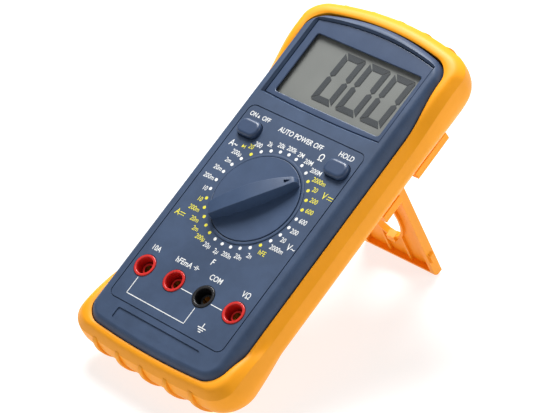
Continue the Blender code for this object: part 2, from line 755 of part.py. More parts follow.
def pointer_bar():
    """The bar handle across the dial: convex sides, drafted, lower and narrower at its tip."""
    def section(radius, half_top, half_foot, top):
        across = ((-half_foot, 0.5), (-half_top, top - 0.5), (-half_top + 0.5, top))
        across += ((half_top - 0.5, top), (half_top, top - 0.5), (half_foot, 0.5))
        return [
            (
                radius * math.cos(POINTER_ANGLE) - side * math.sin(POINTER_ANGLE),
                radius * math.sin(POINTER_ANGLE) + side * math.cos(POINTER_ANGLE),
                w,
            )
            for side, w in across
        ]

    stations = (
        (-20.2, 3.2, 4.4, 5.4),
        (-18.6, 3.7, 5.1, 6.6),
        (-12.0, 4.2, 5.8, 7.0),
        (0.0, 4.4, 6.2, 7.0),
        (10.0, 3.7, 5.3, 6.6),
        (17.0, 2.7, 4.0, 5.8),
        (20.6, 1.9, 2.9, 5.2),
        (21.4, 1.2, 2.2, 4.6),
    )
    return loft([section(*station) for station in stations])


def arrow_outline():
    """A triangle near the bar's tip, pointing outwards."""
    c, s = math.cos(POINTER_ANGLE), math.sin(POINTER_ANGLE)
    corners = ((15.4, -1.5), (20.2, 0.0), (15.4, 1.5))
    return [(r * c - side * s, r * s + side * c) for r, side in corners]


# Push buttons.


def make_button(frame, label, side):
    """A cap held under the face by its flange, its plunger, and the switch it presses."""
    place = (side * BUTTON_U, BUTTON_V, 0.0)
    axis = empty(f"{label}_button_axis", frame)
    axis.location = Vector(place) * MM
    rings = []
    for grow, w in ((1.1, -3.8), (1.1, -2.9), (0.0, -2.8), (0.0, 1.7), (-0.5, 2.3), (-1.5, 2.7)):
        rings.append([(u, v, w) for u, v in button_outline(grow)])
    add(f"{label}_button", loft(rings), "button_plastic", axis)
    add(f"{label}_plunger", cylinder(1.5, -4.1 - 2.6, -4.1, 12), "black_plastic", axis)
    body = add(f"{label}_switch", block(-4.2, 4.2, -4.2, 4.2, -9.2, -6.2), "dark_plastic", frame, place)
    bore = cylinder(1.8, -12, 0, 12)
    subtract(body, add(f"cut_{label}_switch", bore, "dark_plastic", frame, place))


# Battery.


def make_battery(frame):
    long, wide, deep = BATTERY_SIZE
    u0, u1 = BATTERY_LEFT, BATTERY_LEFT + long
    v0, v1 = BATTERY_V - wide / 2, BATTERY_V + wide / 2
    w0, w1 = BATTERY_BACK, BATTERY_BACK + deep
    outline = rounded(v0, v1, w0, w1, 2.0, steps=2)
    battery = add("battery", side_prism(outline, u0, u1), "battery_case", frame)
    middle = (w0 + w1) / 2
    for index, (offset, radius) in enumerate(((-6.35, 2.9), (6.35, 3.9))):
        stud = side_prism(arc((BATTERY_V + offset, middle), radius, 0, 330, 11), u1 - 1, u1 + 3.0)
        unite(battery, add(f"guide_stud_{index}", stud, "steel", frame))
    snap_u = u1 + 3.0 + GAP
    cap = rounded(v0 + 0.8, v1 - 0.8, middle - 6.0, middle + 6.0, 3.0, steps=2)
    add("battery_snap", side_prism(cap, snap_u, snap_u + 4.2), "black_plastic", frame)
    start = snap_u + 4.2 + GAP
    leads = (("red", 5.0, 1.6, "red_wire"), ("black", 1.0, 4.0, "black_wire"))
    for label, offset, reach, finish in leads:
        v = BATTERY_V + offset
        route = [(start, v, middle), (start + reach * 0.6, v + 0.4, middle + 0.3)]
        route += [(start + reach, v + 2.5, middle + 2.0), (start + reach, v + 8.0, middle + 5.0)]
        route += [(start + reach * 0.8, v + 12.0, BOARD_BOTTOM - 4.0)]
        route += [(start + reach * 0.6, v + 13.0, BOARD_BOTTOM - GAP)]
        wire(f"battery_lead_{label}", route, 0.6, finish, frame)

    cover = add("battery_cover", prism(cover_outline(), -33.0, -31.2), "case_plastic", frame)
    tab = block(-5.0, 5.0, COVER_V[1] - 1, TAB_V, -33.0, -31.2)
    unite(cover, add("guide_cover_tab", tab, "case_plastic", frame))
    for index, (radius, low, high) in enumerate(((2.6, -34, -32.1), (1.4, -34, -30))):
        hole = cylinder(radius, low, high, 12, (0.0, COVER_SCREW_V))
        subtract(cover, add(f"cut_cover_{index}", hole, "case_plastic", frame))


# Stand.


def stand_length():
    """From the hinge to the foot, so that foot and holster rest on one floor."""
    def height(v, w):
        return v * math.sin(LEAN) + w * math.cos(LEAN)

    floor = height(*LAND_FRONT)
    back_of_hinge = (
        HINGE_V + STAND_HALF_THICKNESS * math.cos(STAND_ANGLE),
        HINGE_W - STAND_HALF_THICKNESS * math.sin(STAND_ANGLE),
    )
    per_mm = height(-math.sin(STAND_ANGLE), -math.cos(STAND_ANGLE))
    return (floor - height(*back_of_hinge)) / per_mm


def ellipse(center, half_u, half_v, steps=20):
    return [
        (
            center[0] + half_u * math.cos(2 * math.pi * i / steps),
            center[1] + half_v * math.sin(2 * math.pi * i / steps),
        )
        for i in range(steps)
    ]


def make_stand(frame):
    """A ribbed plate with an oval window, hinged on two trunnions in the holster's ears.

    It is modelled folded flat: down along -y from the hinge, its ribbed side facing +z. The
    empty on the hinge then turns it out.
    """
    hinge = empty("stand_axis", frame)
    hinge.location = Vector((0.0, HINGE_V, HINGE_W)) * MM
    hinge.rotation_euler = (math.pi / 2 - STAND_ANGLE, 0.0, 0.0)

    length, thick, half = stand_length(), STAND_HALF_THICKNESS, STAND_HALF_WIDTH
    side = [(3.85, -thick), (3.85, 0.4)]
    side += arc((0.0, 0.0), 3.0, 40, 125, 5)
    side += [(-2.6, thick), (-length + 1.4, thick), (-length, thick - 1.4), (-length, -thick)]
    stand = add("stand", side_prism(side, -half, half), "holster_rubber", hinge)
    trunnions = side_prism(arc((0.0, 0.0), PIVOT_RADIUS, 0, 330, 11), -half - 3.2, half + 3.2)
    unite(stand, add("guide_trunnions", trunnions, "holster_rubber", hinge))

    inner = half - 2.6
    top, bottom = -9.0, -length + 2.6
    window_center, window_half = (0.0, -40.0), (10.4, 17.4)
    pocket = add(
        "cut_stand_pocket", block(-inner, inner, bottom, top, -0.6, 5), "holster_rubber", hinge
    )
    surround = prism(ellipse(window_center, window_half[0] + 1.5, window_half[1] + 1.5), -3, 6)
    subtract(pocket, add("keep_window_rim", surround, "holster_rubber", hinge))
    for index, u in enumerate((-6.7, 6.7)):
        rib = block(u - 0.8, u + 0.8, bottom - 1, top + 1, -3, 6)
        subtract(pocket, add(f"keep_stand_rib_{index}", rib, "holster_rubber", hinge))
    subtract(stand, pocket)
    lowered = block(-inner, inner, bottom, top, 0.9, 5)
    subtract(stand, add("cut_rib_tops", lowered, "holster_rubber", hinge))
    window = prism(ellipse(window_center, *window_half), -5, 6)
    subtract(stand, add("cut_stand_window", window, "holster_rubber", hinge))
    bump = block(-2.4, 2.4, -60.2, -56.6, -1.0, 2.2)
    unite(stand, add("guide_window_bump", bump, "holster_rubber", hinge))
    for direction, label in ((-1, "left"), (1, "right")):
        nub = [(half - 1, -66.0), (half + 1.3, -64.4), (half + 1.3, -59.6), (half - 1, -58.0)]
        shape = prism([(direction * u, y) for u, y in nub], -1.4, 1.4)
        unite(stand, add(f"guide_nub_{label}", shape, "holster_rubber", hinge))


def stand_on_floor(frame):
    """Leans the meter back, centres its box over the origin and rests it on the floor."""
    frame.rotation_euler = (LEAN, 0.0, 0.0)
    bpy.context.view_layer.update()
    graph = bpy.context.evaluated_depsgraph_get()
    corners = []
    for item in bpy.context.scene.objects:
        if item.type == "EMPTY" or item.hide_render:
            continue
        shown = item.evaluated_get(graph)
        mesh = shown.to_mesh()
        corners += [shown.matrix_world @ vertex.co for vertex in mesh.vertices]
        shown.to_mesh_clear()
    middle = [(min(c[k] for c in corners) + max(c[k] for c in corners)) / 2 for k in range(2)]
    lowest = min(c[2] for c in corners)
    frame.location = (-middle[0], -middle[1], -lowest)


def main():
    clear_scene()
    frame = empty("meter_frame")
    make_holster(frame)
    make_front_case(frame)
    make_rear_case(frame)
    make_screws(frame)
    make_display(frame)
    make_board(frame)
    make_components(frame)
    make_fuse(frame, "milliamp", -28.0, -36.0, -16.0, 2.6)
    make_fuse(frame, "ten_amp", -18.0, -36.0, -6.0, 3.1)
    make_jacks(frame)
    make_dial(frame)
    make_button(frame, "power", -1)
    make_button(frame, "hold", 1)
    make_battery(frame)
    make_stand(frame)
    stand_on_floor(frame)


main()
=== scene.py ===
# %% [markdown]
# # A digital multimeter in its holster
#
# A handheld multimeter leans back on the fold-out stand of its rubber holster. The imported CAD
# model is the frame: it says where everything is and how it moves. This lesson gives it its
# looks. We load the frame first, because every later position is worked out from it.

# %% Load the frame
import json
import math

import bmesh
import bpy
from mathutils import Matrix, Vector


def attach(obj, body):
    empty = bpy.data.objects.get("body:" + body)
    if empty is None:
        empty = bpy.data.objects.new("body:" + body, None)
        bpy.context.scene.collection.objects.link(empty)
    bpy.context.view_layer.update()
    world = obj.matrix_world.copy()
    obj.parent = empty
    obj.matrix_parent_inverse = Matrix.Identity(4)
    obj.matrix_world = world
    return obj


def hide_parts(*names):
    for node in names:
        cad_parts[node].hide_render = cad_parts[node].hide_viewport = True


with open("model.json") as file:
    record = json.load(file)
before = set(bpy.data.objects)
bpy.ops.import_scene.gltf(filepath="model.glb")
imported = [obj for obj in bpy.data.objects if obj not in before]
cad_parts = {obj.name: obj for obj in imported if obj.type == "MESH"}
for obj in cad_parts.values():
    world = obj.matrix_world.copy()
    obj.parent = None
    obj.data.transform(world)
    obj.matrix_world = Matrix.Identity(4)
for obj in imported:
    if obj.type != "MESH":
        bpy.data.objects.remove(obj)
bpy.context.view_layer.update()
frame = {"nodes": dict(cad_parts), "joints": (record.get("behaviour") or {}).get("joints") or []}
cad = frame["nodes"]
joints = {joint["name"]: joint for joint in frame["joints"]}
print("CAD nodes:", len(cad), "joints:", ", ".join(joints))

# %% [markdown]
# The meter leans, so working in the room's axes would be awkward. The dial's joint gives a
# frame of the meter's own: its centre is the origin and its axis points out of the face. We
# call the three directions u (right), v (up the face) and w (out of the face), model everything
# in millimetres there, and let one matrix carry each finished mesh to its place in metres.

# %% The meter's own frame
MM = 0.001
dial_centre = Vector(joints["range_dial"]["pos_m"])
outward = Vector(joints["range_dial"]["axis"]).normalized()
rightward = Vector((1.0, 0.0, 0.0))
up_face = outward.cross(rightward)
meter_axes = Matrix((rightward, up_face, outward)).transposed().to_4x4()
METER = Matrix.Translation(dial_centre) @ meter_axes @ Matrix.Scale(MM, 4)
lean = math.degrees(math.acos(outward.z))
print(f"the face leans back {lean:.1f} degrees")

# %% [markdown]
# The camera looks along a fixed azimuth and elevation at a point just right of the dial. A long
# lens from over a metre away keeps the case's sides nearly parallel, as in a catalogue. The roll
# of under a degree is the small tilt that a hand-levelled tripod leaves.

# %% Camera
AZIMUTH = math.radians(45.56)
ELEVATION = math.radians(30.17)
ROLL = math.radians(-0.89)
DISTANCE = 1.1296
LENS = 167.0
AIM = Vector((11.4, 0.9, 0.0))

back = Vector((
    math.cos(ELEVATION) * math.sin(AZIMUTH),
    -math.cos(ELEVATION) * math.cos(AZIMUTH),
    math.sin(ELEVATION),
))
level = Vector((0.0, 0.0, 1.0)).cross(back).normalized()
right = (Matrix.Rotation(ROLL, 3, back) @ level).normalized()
turned_camera = Matrix((right, back.cross(right), back)).transposed().to_4x4()
camera_data = bpy.data.cameras.new("camera")
camera_data.lens = LENS
camera_data.clip_start = 0.01
camera = bpy.data.objects.new("camera", camera_data)
camera.matrix_world = Matrix.Translation(METER @ AIM + back * DISTANCE) @ turned_camera
bpy.context.collection.objects.link(camera)
bpy.context.scene.camera = camera
bpy.context.scene.view_settings.view_transform = "Standard"
print("camera at", [round(x, 3) for x in camera.location])

# %% [markdown]
# A pale floor and large soft lights show form without hard shadows. The key light comes from
# behind the display's left corner, so the near flank of the knob's bar falls dark. A second
# light, behind on the right, brightens the holster's side wall and misses that flank. The front
# light only lifts the shadows.


# %% Floor and lights
METER_MIDDLE = Vector((0.0, 0.0, 0.06))
SURROUND_STRENGTH = 0.24


def area_light(name, place, size, power):
    """A square soft light, in metres and watts, that faces the meter."""
    data = bpy.data.lights.new(name, "AREA")
    data.size = size
    data.energy = power
    light = bpy.data.objects.new(name, data)
    light.location = place
    light.rotation_euler = (METER_MIDDLE - Vector(place)).to_track_quat("-Z", "Y").to_euler()
    bpy.context.collection.objects.link(light)


area_light("key_light", (-0.50, 0.42, 1.20), 0.7, 33.0)
area_light("side_light", (1.15, 0.70, 0.55), 0.9, 7.5)
area_light("front_light", (-0.2, -1.3, 0.75), 1.0, 1.8)

world = bpy.data.worlds.new("studio")
world.use_nodes = True
background = world.node_tree.nodes["Background"]
background.inputs["Color"].default_value = (1.0, 1.0, 1.0, 1.0)
background.inputs["Strength"].default_value = SURROUND_STRENGTH
bpy.context.scene.world = world
print("three soft lights and a white surround")

# %% [markdown]
# A finish is a small network of shader nodes. Wired by hand, even a weighted sum of two patterns
# takes many lines, so one small class wraps a node's output and lets Python's operators add the
# Math nodes. Everything else goes through one method that takes a node's type, its settings and
# its inputs.


# %% Shader expressions
class Value:
    """A node's output. Arithmetic on it adds Math nodes."""

    def __init__(self, finish, socket):
        self.finish = finish
        self.socket = socket

    def math(self, operation, other):
        return self.finish.node("Math", {"operation": operation}, {0: self, 1: other})

    def __add__(self, other):
        return self.math("ADD", other)

    def __mul__(self, other):
        return self.math("MULTIPLY", other)

    __radd__ = __add__
    __rmul__ = __mul__


class Finish:
    """A material whose pattern reads the piece's own coordinates, in metres."""

    def __init__(self, name, **constants):
        self.material = bpy.data.materials.new(name)
        self.material.use_nodes = True
        self.tree = self.material.node_tree
        self.shader = self.tree.nodes["Principled BSDF"]
        for label, value in constants.items():
            self.shader.inputs[label.replace("_", " ")].default_value = value
        self.place = self.node("TexCoord", {}, {}, "Object")

    def node(self, kind, settings, inputs, output=0):
        made = self.tree.nodes.new("ShaderNode" + kind)
        for label, value in settings.items():
            setattr(made, label, value)
        for label, value in inputs.items():
            self.link(made.inputs[label], value)
        return Value(self, made.outputs[output])

    def link(self, socket, value):
        if isinstance(value, Value):
            self.tree.links.new(value.socket, socket)
        else:
            socket.default_value = value

    def noise(self, size_mm, detail=2.0, roughness=0.5):
        """Noise whose blotches are about size_mm across, around 0.5."""
        settings = {"Vector": self.place, "Scale": 1.0 / (size_mm * MM)}
        return self.node("TexNoise", {}, {**settings, "Detail": detail, "Roughness": roughness})

    def step(self, value, low, high):
        """0 below low and 1 above high, with a smooth rise between."""
        inputs = {"Value": value, "From Min": low, "From Max": high}
        return self.node("MapRange", {"interpolation_type": "SMOOTHSTEP"}, inputs)

    def mix(self, factor, first, second):
        """The first colour where factor is 0 and the second where it is 1."""
        inputs = {0: factor, 6: (*first, 1.0), 7: (*second, 1.0)}
        return self.node("Mix", {"data_type": "RGBA"}, inputs, 2)

    def bump(self, height, depth_mm):
        inputs = {"Height": height, "Distance": depth_mm * MM, "Strength": 1.0}
        return self.node("Bump", {}, inputs)

    def set(self, label, value):
        self.link(self.shader.inputs[label], value)


# %% [markdown]
# Cast and moulded plastics are never one flat colour: the mould is spark-eroded to a fine
# grain, and the pigment and the handling leave faint broad patches. One function serves every
# moulded piece, with the colour, the grain's size and depth, and the gloss as its choices.


# %% Moulded plastics and rubber
def moulded(name, color, gloss, grain_mm, grain_depth, patch=0.06, **constants):
    """Moulded plastic or rubber. gloss is its roughness, before the grain changes it a little,
    and patch is how far its colour varies."""
    finish = Finish(name, **constants)
    grain = finish.noise(grain_mm, 3.0, 0.6)
    patches = finish.noise(22.0, 3.0)
    fine = finish.noise(4.0, 2.0)
    lighter = tuple(min(1.0, c * (1.0 + 1.6 * patch) + 0.25 * patch * max(color)) for c in color)
    darker = tuple(c * (1.0 - 1.8 * patch) for c in color)
    tone = patches * 0.6 + fine * 0.25 + grain * 0.15
    finish.set("Base Color", finish.mix(finish.step(tone, 0.32, 0.68), darker, lighter))
    finish.set("Roughness", grain * 0.16 + patches * 0.1 + (gloss - 0.13))
    finish.set("Normal", finish.bump(grain, grain_depth))
    return finish.material


holster_rubber = moulded(
    "holster_rubber", (0.95, 0.358, 0.004), 0.5, 0.35, 0.012, 0.014, Specular_IOR_Level=0.3
)
stand_plastic = moulded(
    "stand_plastic", (0.92, 0.335, 0.003), 0.46, 0.3, 0.008, 0.014, Specular_IOR_Level=0.35
)
case_plastic = moulded(
    "case_plastic", (0.036, 0.064, 0.126), 0.52, 0.3, 0.02, 0.08, Specular_IOR_Level=0.35
)
knob_plastic = moulded(
    "knob_plastic", (0.036, 0.066, 0.134), 0.46, 0.3, 0.014, 0.06, Specular_IOR_Level=0.4
)
key_plastic = moulded("key_plastic", (0.030, 0.055, 0.116), 0.36, 0.5, 0.004, 0.05)
bezel_plastic = moulded("bezel_plastic", (0.034, 0.060, 0.122), 0.34, 0.4, 0.004, 0.05)
dark_plastic = moulded("dark_plastic", (0.022, 0.022, 0.026), 0.45, 0.3, 0.01)
red_jack = moulded("red_jack", (0.58, 0.018, 0.014), 0.3, 0.8, 0.003, 0.05)
black_jack = moulded("black_jack", (0.012, 0.012, 0.014), 0.32, 0.8, 0.003, 0.05)
red_wire = moulded("red_wire", (0.55, 0.02, 0.015), 0.4, 0.8, 0.004)
black_wire = moulded("black_wire", (0.014, 0.014, 0.015), 0.4, 0.8, 0.004)
zebra_rubber = moulded("zebra_rubber", (0.62, 0.32, 0.36), 0.6, 0.3, 0.004)
ceramic = moulded("fuse_ceramic", (0.82, 0.80, 0.75), 0.25, 1.2, 0.003, 0.02)
jacket = moulded("battery_jacket", (0.06, 0.06, 0.065), 0.3, 1.5, 0.003, 0.1)
print("moulded finishes:", len(bpy.data.materials))

# %% [markdown]
# Metal inside a meter is plated or turned. Turning leaves fine rings and handling leaves dull
# patches, so its roughness varies more than its colour.


# %% Metals
def plated(name, color, gloss):
    finish = Finish(name, Metallic=1.0)
    rub = finish.noise(0.5, 4.0, 0.7)
    dull = finish.noise(5.0, 3.0)
    shaded = tuple(c * 0.78 for c in color)
    finish.set("Base Color", finish.mix(finish.step(dull, 0.35, 0.75), color, shaded))
    finish.set("Roughness", rub * 0.18 + dull * 0.2 + (gloss - 0.15))
    finish.set("Normal", finish.bump(rub, 0.003))
    return finish.material


brass = plated("brass", (0.80, 0.58, 0.25), 0.28)
steel = plated("steel", (0.60, 0.60, 0.61), 0.3)
shunt_wire = plated("shunt_wire", (0.72, 0.52, 0.36), 0.35)

# %% [markdown]
# The circuit board's solder mask is a translucent green lacquer over glass cloth. The weave
# shows as a faint grid, which two wave patterns at right angles give without a texture file.


# %% Circuit board
WEAVE_SCALE = 320.0


def board_finish():
    finish = Finish("circuit_board")
    waves = []
    for direction in ("X", "Y"):
        settings = {"bands_direction": direction}
        inputs = {"Vector": finish.place, "Scale": WEAVE_SCALE, "Distortion": 0.6}
        waves.append(finish.node("TexWave", settings, inputs, "Fac"))
    weave = waves[0] * waves[1]
    patches = finish.noise(9.0, 3.0)
    tone = finish.step(weave * 0.5 + patches * 0.5, 0.2, 0.7)
    finish.set("Base Color", finish.mix(tone, (0.012, 0.11, 0.04), (0.03, 0.21, 0.08)))
    finish.set("Roughness", patches * 0.2 + 0.22)
    finish.set("Normal", finish.bump(weave, 0.01))
    return finish.material


circuit_board = board_finish()
print("board finish:", len(circuit_board.node_tree.nodes), "nodes")

# %% [markdown]
# A liquid-crystal display is a stack: a matt grey-green reflector, two thin glasses and, over
# it, the clear window. We see the reflector's fine sparkle through a faint gloss. The window
# itself is nearly invisible, so a weak alpha keeps only its reflections.


# %% Display finishes
def reflector_finish():
    finish = Finish("lcd_reflector", Coat_Weight=0.3, Coat_Roughness=0.2)
    sparkle = finish.noise(0.25, 2.0, 0.7)
    cloud = finish.noise(30.0, 2.0)
    tone = finish.step(sparkle * 0.35 + cloud * 0.65, 0.35, 0.65)
    finish.set("Base Color", finish.mix(tone, (0.150, 0.158, 0.147), (0.184, 0.193, 0.178)))
    finish.set("Roughness", sparkle * 0.2 + 0.38)
    finish.set("Normal", finish.bump(sparkle, 0.004))
    return finish.material


def segment_finish(name, color, alpha):
    finish = Finish(name, Alpha=alpha)
    cloud = finish.noise(3.0, 2.0)
    finish.set("Base Color", finish.mix(cloud, color, tuple(c * 1.25 for c in color)))
    finish.set("Roughness", cloud * 0.1 + 0.4)
    return finish.material


def window_finish():
    finish = Finish("clear_window", Alpha=0.05)
    smear = finish.noise(12.0, 3.0)
    finish.set("Base Color", finish.mix(smear, (0.10, 0.11, 0.12), (0.16, 0.17, 0.18)))
    finish.set("Roughness", smear * 0.08 + 0.05)
    return finish.material


lcd_reflector = reflector_finish()
segment_ink = segment_finish("segment_ink", (0.016, 0.021, 0.025), 0.97)
segment_shadow = segment_finish("segment_shadow", (0.06, 0.065, 0.062), 0.5)
clear_window = window_finish()
print("display finishes:", lcd_reflector.name, segment_ink.name, segment_shadow.name, clear_window.name)

# %% [markdown]
# The marks on the face are pad-printed: a soft pad lays a thin film of opaque ink. Its edge is
# crisp, its surface satin, and it sits a few hundredths of a millimetre proud.


# %% Printing inks
def ink(name, color):
    finish = Finish(name)
    mottle = finish.noise(0.6, 3.0, 0.6)
    thin = tuple(c * 0.86 for c in color)
    finish.set("Base Color", finish.mix(finish.step(mottle, 0.3, 0.6), thin, color))
    finish.set("Roughness", mottle * 0.2 + 0.35)
    return finish.material


white_ink = ink("white_ink", (0.84, 0.85, 0.84))
yellow_ink = ink("yellow_ink", (0.80, 0.72, 0.045))
print("printing inks:", white_ink.name, yellow_ink.name)

# %% [markdown]
# The floor is a plain sheet of opal acrylic, lit faintly from below like a studio's light table.
# It keeps the shadows pale and lights the holster's underside.


# %% Floor
FLOOR_HALF = 4.0


def make_floor():
    finish = Finish("opal_acrylic", Roughness=0.8, Emission_Strength=0.76)
    cloud = finish.noise(400.0, 2.0)
    finish.set("Base Color", finish.mix(cloud, (0.29, 0.29, 0.29), (0.32, 0.32, 0.32)))
    finish.set("Emission Color", finish.mix(cloud, (0.98, 0.98, 0.98), (1.0, 1.0, 1.0)))
    mesh = bpy.data.meshes.new("floor")
    corners = [(x * FLOOR_HALF, y * FLOOR_HALF, 0.0) for x, y in ((-1, -1), (1, -1), (1, 1), (-1, 1))]
    mesh.from_pydata(corners, [], [(0, 1, 2, 3)])
    mesh.materials.append(finish.material)
    floor = bpy.data.objects.new("floor", mesh)
    bpy.context.collection.objects.link(floor)
    print("floor:", 2 * FLOOR_HALF, "m across")


make_floor()

# %% [markdown]
# Next come the outlines and solids that the pieces are made from. An outline is a list of
# points, with its round stretches worked out as arcs. A loft joins rings of equal length into
# a closed solid, and a prism and a turned shape are lofts of a simple kind.


# %% Outlines and solids
def arc(center, radius, start, end, steps):
    """Points on an arc, from start to end in degrees, both included."""
    points = []
    for i in range(steps + 1):
        angle = math.radians(start + (end - start) * i / steps)
        points.append((center[0] + radius * math.cos(angle), center[1] + radius * math.sin(angle)))
    return points


def rounded(u0, u1, v0, v1, radius, steps=8):
    """A rectangle with round corners, anticlockwise."""
    return (
        arc((u1 - radius, v0 + radius), radius, -90, 0, steps)
        + arc((u1 - radius, v1 - radius), radius, 0, 90, steps)
        + arc((u0 + radius, v1 - radius), radius, 90, 180, steps)
        + arc((u0 + radius, v0 + radius), radius, 180, 270, steps)
    )


def loft(rings, closed=False):
    """A solid through rings of (u, v, w). Closed joins the last ring to the first."""
    shape = bmesh.new()
    grid = [[shape.verts.new(point) for point in ring] for ring in rings]
    count = len(rings[0])
    pairs = list(zip(grid, grid[1:]))
    if closed:
        pairs.append((grid[-1], grid[0]))
    for low, high in pairs:
        for i in range(count):
            j = (i + 1) % count
            shape.faces.new((low[i], low[j], high[j], high[i]))
    if not closed:
        shape.faces.new(grid[0][::-1])
        shape.faces.new(grid[-1])
    bmesh.ops.recalc_face_normals(shape, faces=shape.faces)
    return shape


def prism(outline, low, high):
    return loft([[(u, v, w) for u, v in outline] for w in (low, high)])


def cylinder(radius, low, high, center=(0.0, 0.0), segments=64):
    return prism(arc(center, radius, 0, 360 - 360 / segments, segments - 1), low, high)


def turned(profile, segments=96, closed=False):
    """A profile of (radius, w) turned about the w axis."""
    rings = []
    for radius, w in profile:
        points = arc((0.0, 0.0), radius, 0, 360 - 360 / segments, segments - 1)
        rings.append([(u, v, w) for u, v in points])
    return loft(rings, closed)


def moved(shape, u=0.0, v=0.0, matrix=None):
    """The same shape, turned by matrix and then moved over the face."""
    bmesh.ops.transform(shape, matrix=matrix or Matrix.Identity(4), verts=shape.verts)
    bmesh.ops.translate(shape, vec=(u, v, 0.0), verts=shape.verts)
    return shape


# %% [markdown]
# Several helpers turn a shape into a finished piece: cut or join others with a Boolean, round
# the sharp edges with a Bevel, and shade smooth across everything but real edges. No moulded
# edge is truly sharp, and the thin highlight along a bevel is what makes an edge look real.


# %% Finishing a piece
FLAT_FACE_WEIGHT = 60


def as_object(name, shape):
    mesh = bpy.data.meshes.new(name)
    shape.to_mesh(mesh)
    shape.free()
    made = bpy.data.objects.new(name, mesh)
    bpy.context.collection.objects.link(made)
    return made


def as_shape(made):
    """The object's mesh as a bmesh again. The object goes."""
    shape = bmesh.new()
    shape.from_mesh(made.data)
    bpy.data.objects.remove(made)
    return shape


def evaluated_mesh(made):
    """The mesh that an object's modifiers or text give."""
    bpy.context.view_layer.update()
    graph = bpy.context.evaluated_depsgraph_get()
    return bpy.data.meshes.new_from_object(made.evaluated_get(graph))


def applied(made):
    """Replaces the object's mesh by what its modifiers make, and removes them."""
    mesh = evaluated_mesh(made)
    made.modifiers.clear()
    made.data = mesh
    return made


def merged(shapes):
    """Several shapes in one bmesh."""
    whole = bmesh.new()
    for shape in shapes:
        part = bpy.data.meshes.new("part")
        shape.to_mesh(part)
        shape.free()
        whole.from_mesh(part)
        bpy.data.meshes.remove(part)
    return whole


def boolean(made, shapes, operation):
    """Cuts shapes from an object, or joins them to it. Shapes that touch go in turn."""
    tool = as_object("tool", merged(shapes))
    modifier = made.modifiers.new("boolean", "BOOLEAN")
    modifier.operation = operation
    modifier.object = tool
    modifier.use_self = len(shapes) > 1
    applied(made)
    bpy.data.objects.remove(tool)
    return made


def rounded_off(made, width, segments=2, angle=32):
    """Rounds every edge sharper than angle, over a width in millimetres."""
    bevel = made.modifiers.new("bevel", "BEVEL")
    bevel.width = width
    bevel.segments = segments
    bevel.limit_method = "ANGLE"
    bevel.angle_limit = math.radians(angle)
    bevel.miter_outer = "MITER_ARC"
    return applied(made)


def shaded(made, angle):
    """Smooth shading that the large flat faces govern."""
    made.data.shade_smooth()
    made.data.set_sharp_from_angle(angle=math.radians(angle))
    normals = made.modifiers.new("normals", "WEIGHTED_NORMAL")
    normals.keep_sharp = True
    normals.weight = FLAT_FACE_WEIGHT
    applied(made)


def piece(made, material, body, replaces=(), angle=32):
    """Takes an object made in millimetres to its place and says what it is."""
    made.data.transform(METER)
    shaded(made, angle)
    made.data.materials.clear()
    made.data.materials.append(material)
    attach(made, body)
    if replaces:
        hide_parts(*replaces)
    print(f"{made.name}: {len(made.data.polygons)} faces")


# %% [markdown]
# ## The holster
#
# The holster is one moulding of soft rubber: a tub that wraps the case, with a thick bumper
# round both ends, a slimmer waist and a lip that folds over the case's edge. Its section
# changes steadily along its length, so it is a loft: ten rings from the back to the lip and
# seven down the pocket. Each ring blends between its size at the waist and at the bumpers, and
# both ends are bowed.

# %% Plan of the case and holster
ARCH_CASE = (121.0, 412.0)
ARCH_HOLSTER = (160.0, 412.0)
ARCH_LAND = (160.0, math.inf)
WAIST_LOW, BUMPER_LOW = -51.0, -80.0
WAIST_HIGH, BUMPER_HIGH = 50.0, 86.0
HOLSTER_STEPS = (14, 90, 20)


def plan(half_width, top, bottom, corner, steps):
    """A long rounded rectangle, anticlockwise from its lower left corner.

    steps is how many parts each corner, each side and each end has."""
    corner_steps, side_steps, end_steps = steps
    centers = (
        (-half_width + corner, bottom + corner, 180),
        (half_width - corner, bottom + corner, 270),
        (half_width - corner, top - corner, 0),
        (-half_width + corner, top - corner, 90),
    )
    arcs = [arc((u, v), corner, start, start + 90, corner_steps) for u, v, start in centers]
    points = []
    for index, bend in enumerate(arcs):
        points += bend
        here, ahead = Vector(bend[-1]), Vector(arcs[(index + 1) % 4][0])
        parts = end_steps if index % 2 == 0 else side_steps
        points += [tuple(here.lerp(ahead, i / parts)) for i in range(1, parts)]
    return points


def bowed(points, top, bottom, arch):
    """Bows the two ends outwards, to arch's radii at the top and the bottom."""
    bent = []
    for u, v in points:
        end, radius, way = (top, arch[0], -1) if v > 0 else (bottom, arch[1], 1)
        bent.append((u, v + way * u * u / (2 * radius) * (v / end) ** 4))
    return bent


def share_of_way(low, high, value):
    return min(1.0, max(0.0, (value - low) / (high - low)))


def rise(low, high, value):
    """0 at low and 1 at high, smooth at both."""
    share = share_of_way(low, high, value)
    return share * share * (3 - 2 * share)


def crisp_rise(low, high, value):
    """The same, but it starts with a corner."""
    return math.sin(math.pi / 2 * share_of_way(low, high, value))


def holster_ring(waist, bumper, top, bottom, corner, high_share=1.0, arch=ARCH_HOLSTER, late=0.0):
    """One ring. waist and bumper are its (half width, w) at the middle and at the ends.

    late is how far, in millimetres, its bumpers start beyond those of the outer wall."""
    ring = []
    for u, v in bowed(plan(bumper[0], top, bottom, corner, HOLSTER_STEPS), top, bottom, arch):
        share = crisp_rise(WAIST_LOW - late, BUMPER_LOW, v)
        share += high_share * rise(WAIST_HIGH + late / 2, BUMPER_HIGH, v)
        width = waist[0] + (bumper[0] - waist[0]) * share
        ring.append(Vector((u * width / bumper[0], v, waist[1] + (bumper[1] - waist[1]) * share)))
    return ring


# %% [markdown]
# Rings a few millimetres apart would show as bands of facets. A Catmull-Rom curve through each
# column of ring points adds smooth rings between them and still passes through every ring. At
# a crease the curve is broken, so that the edge stays.


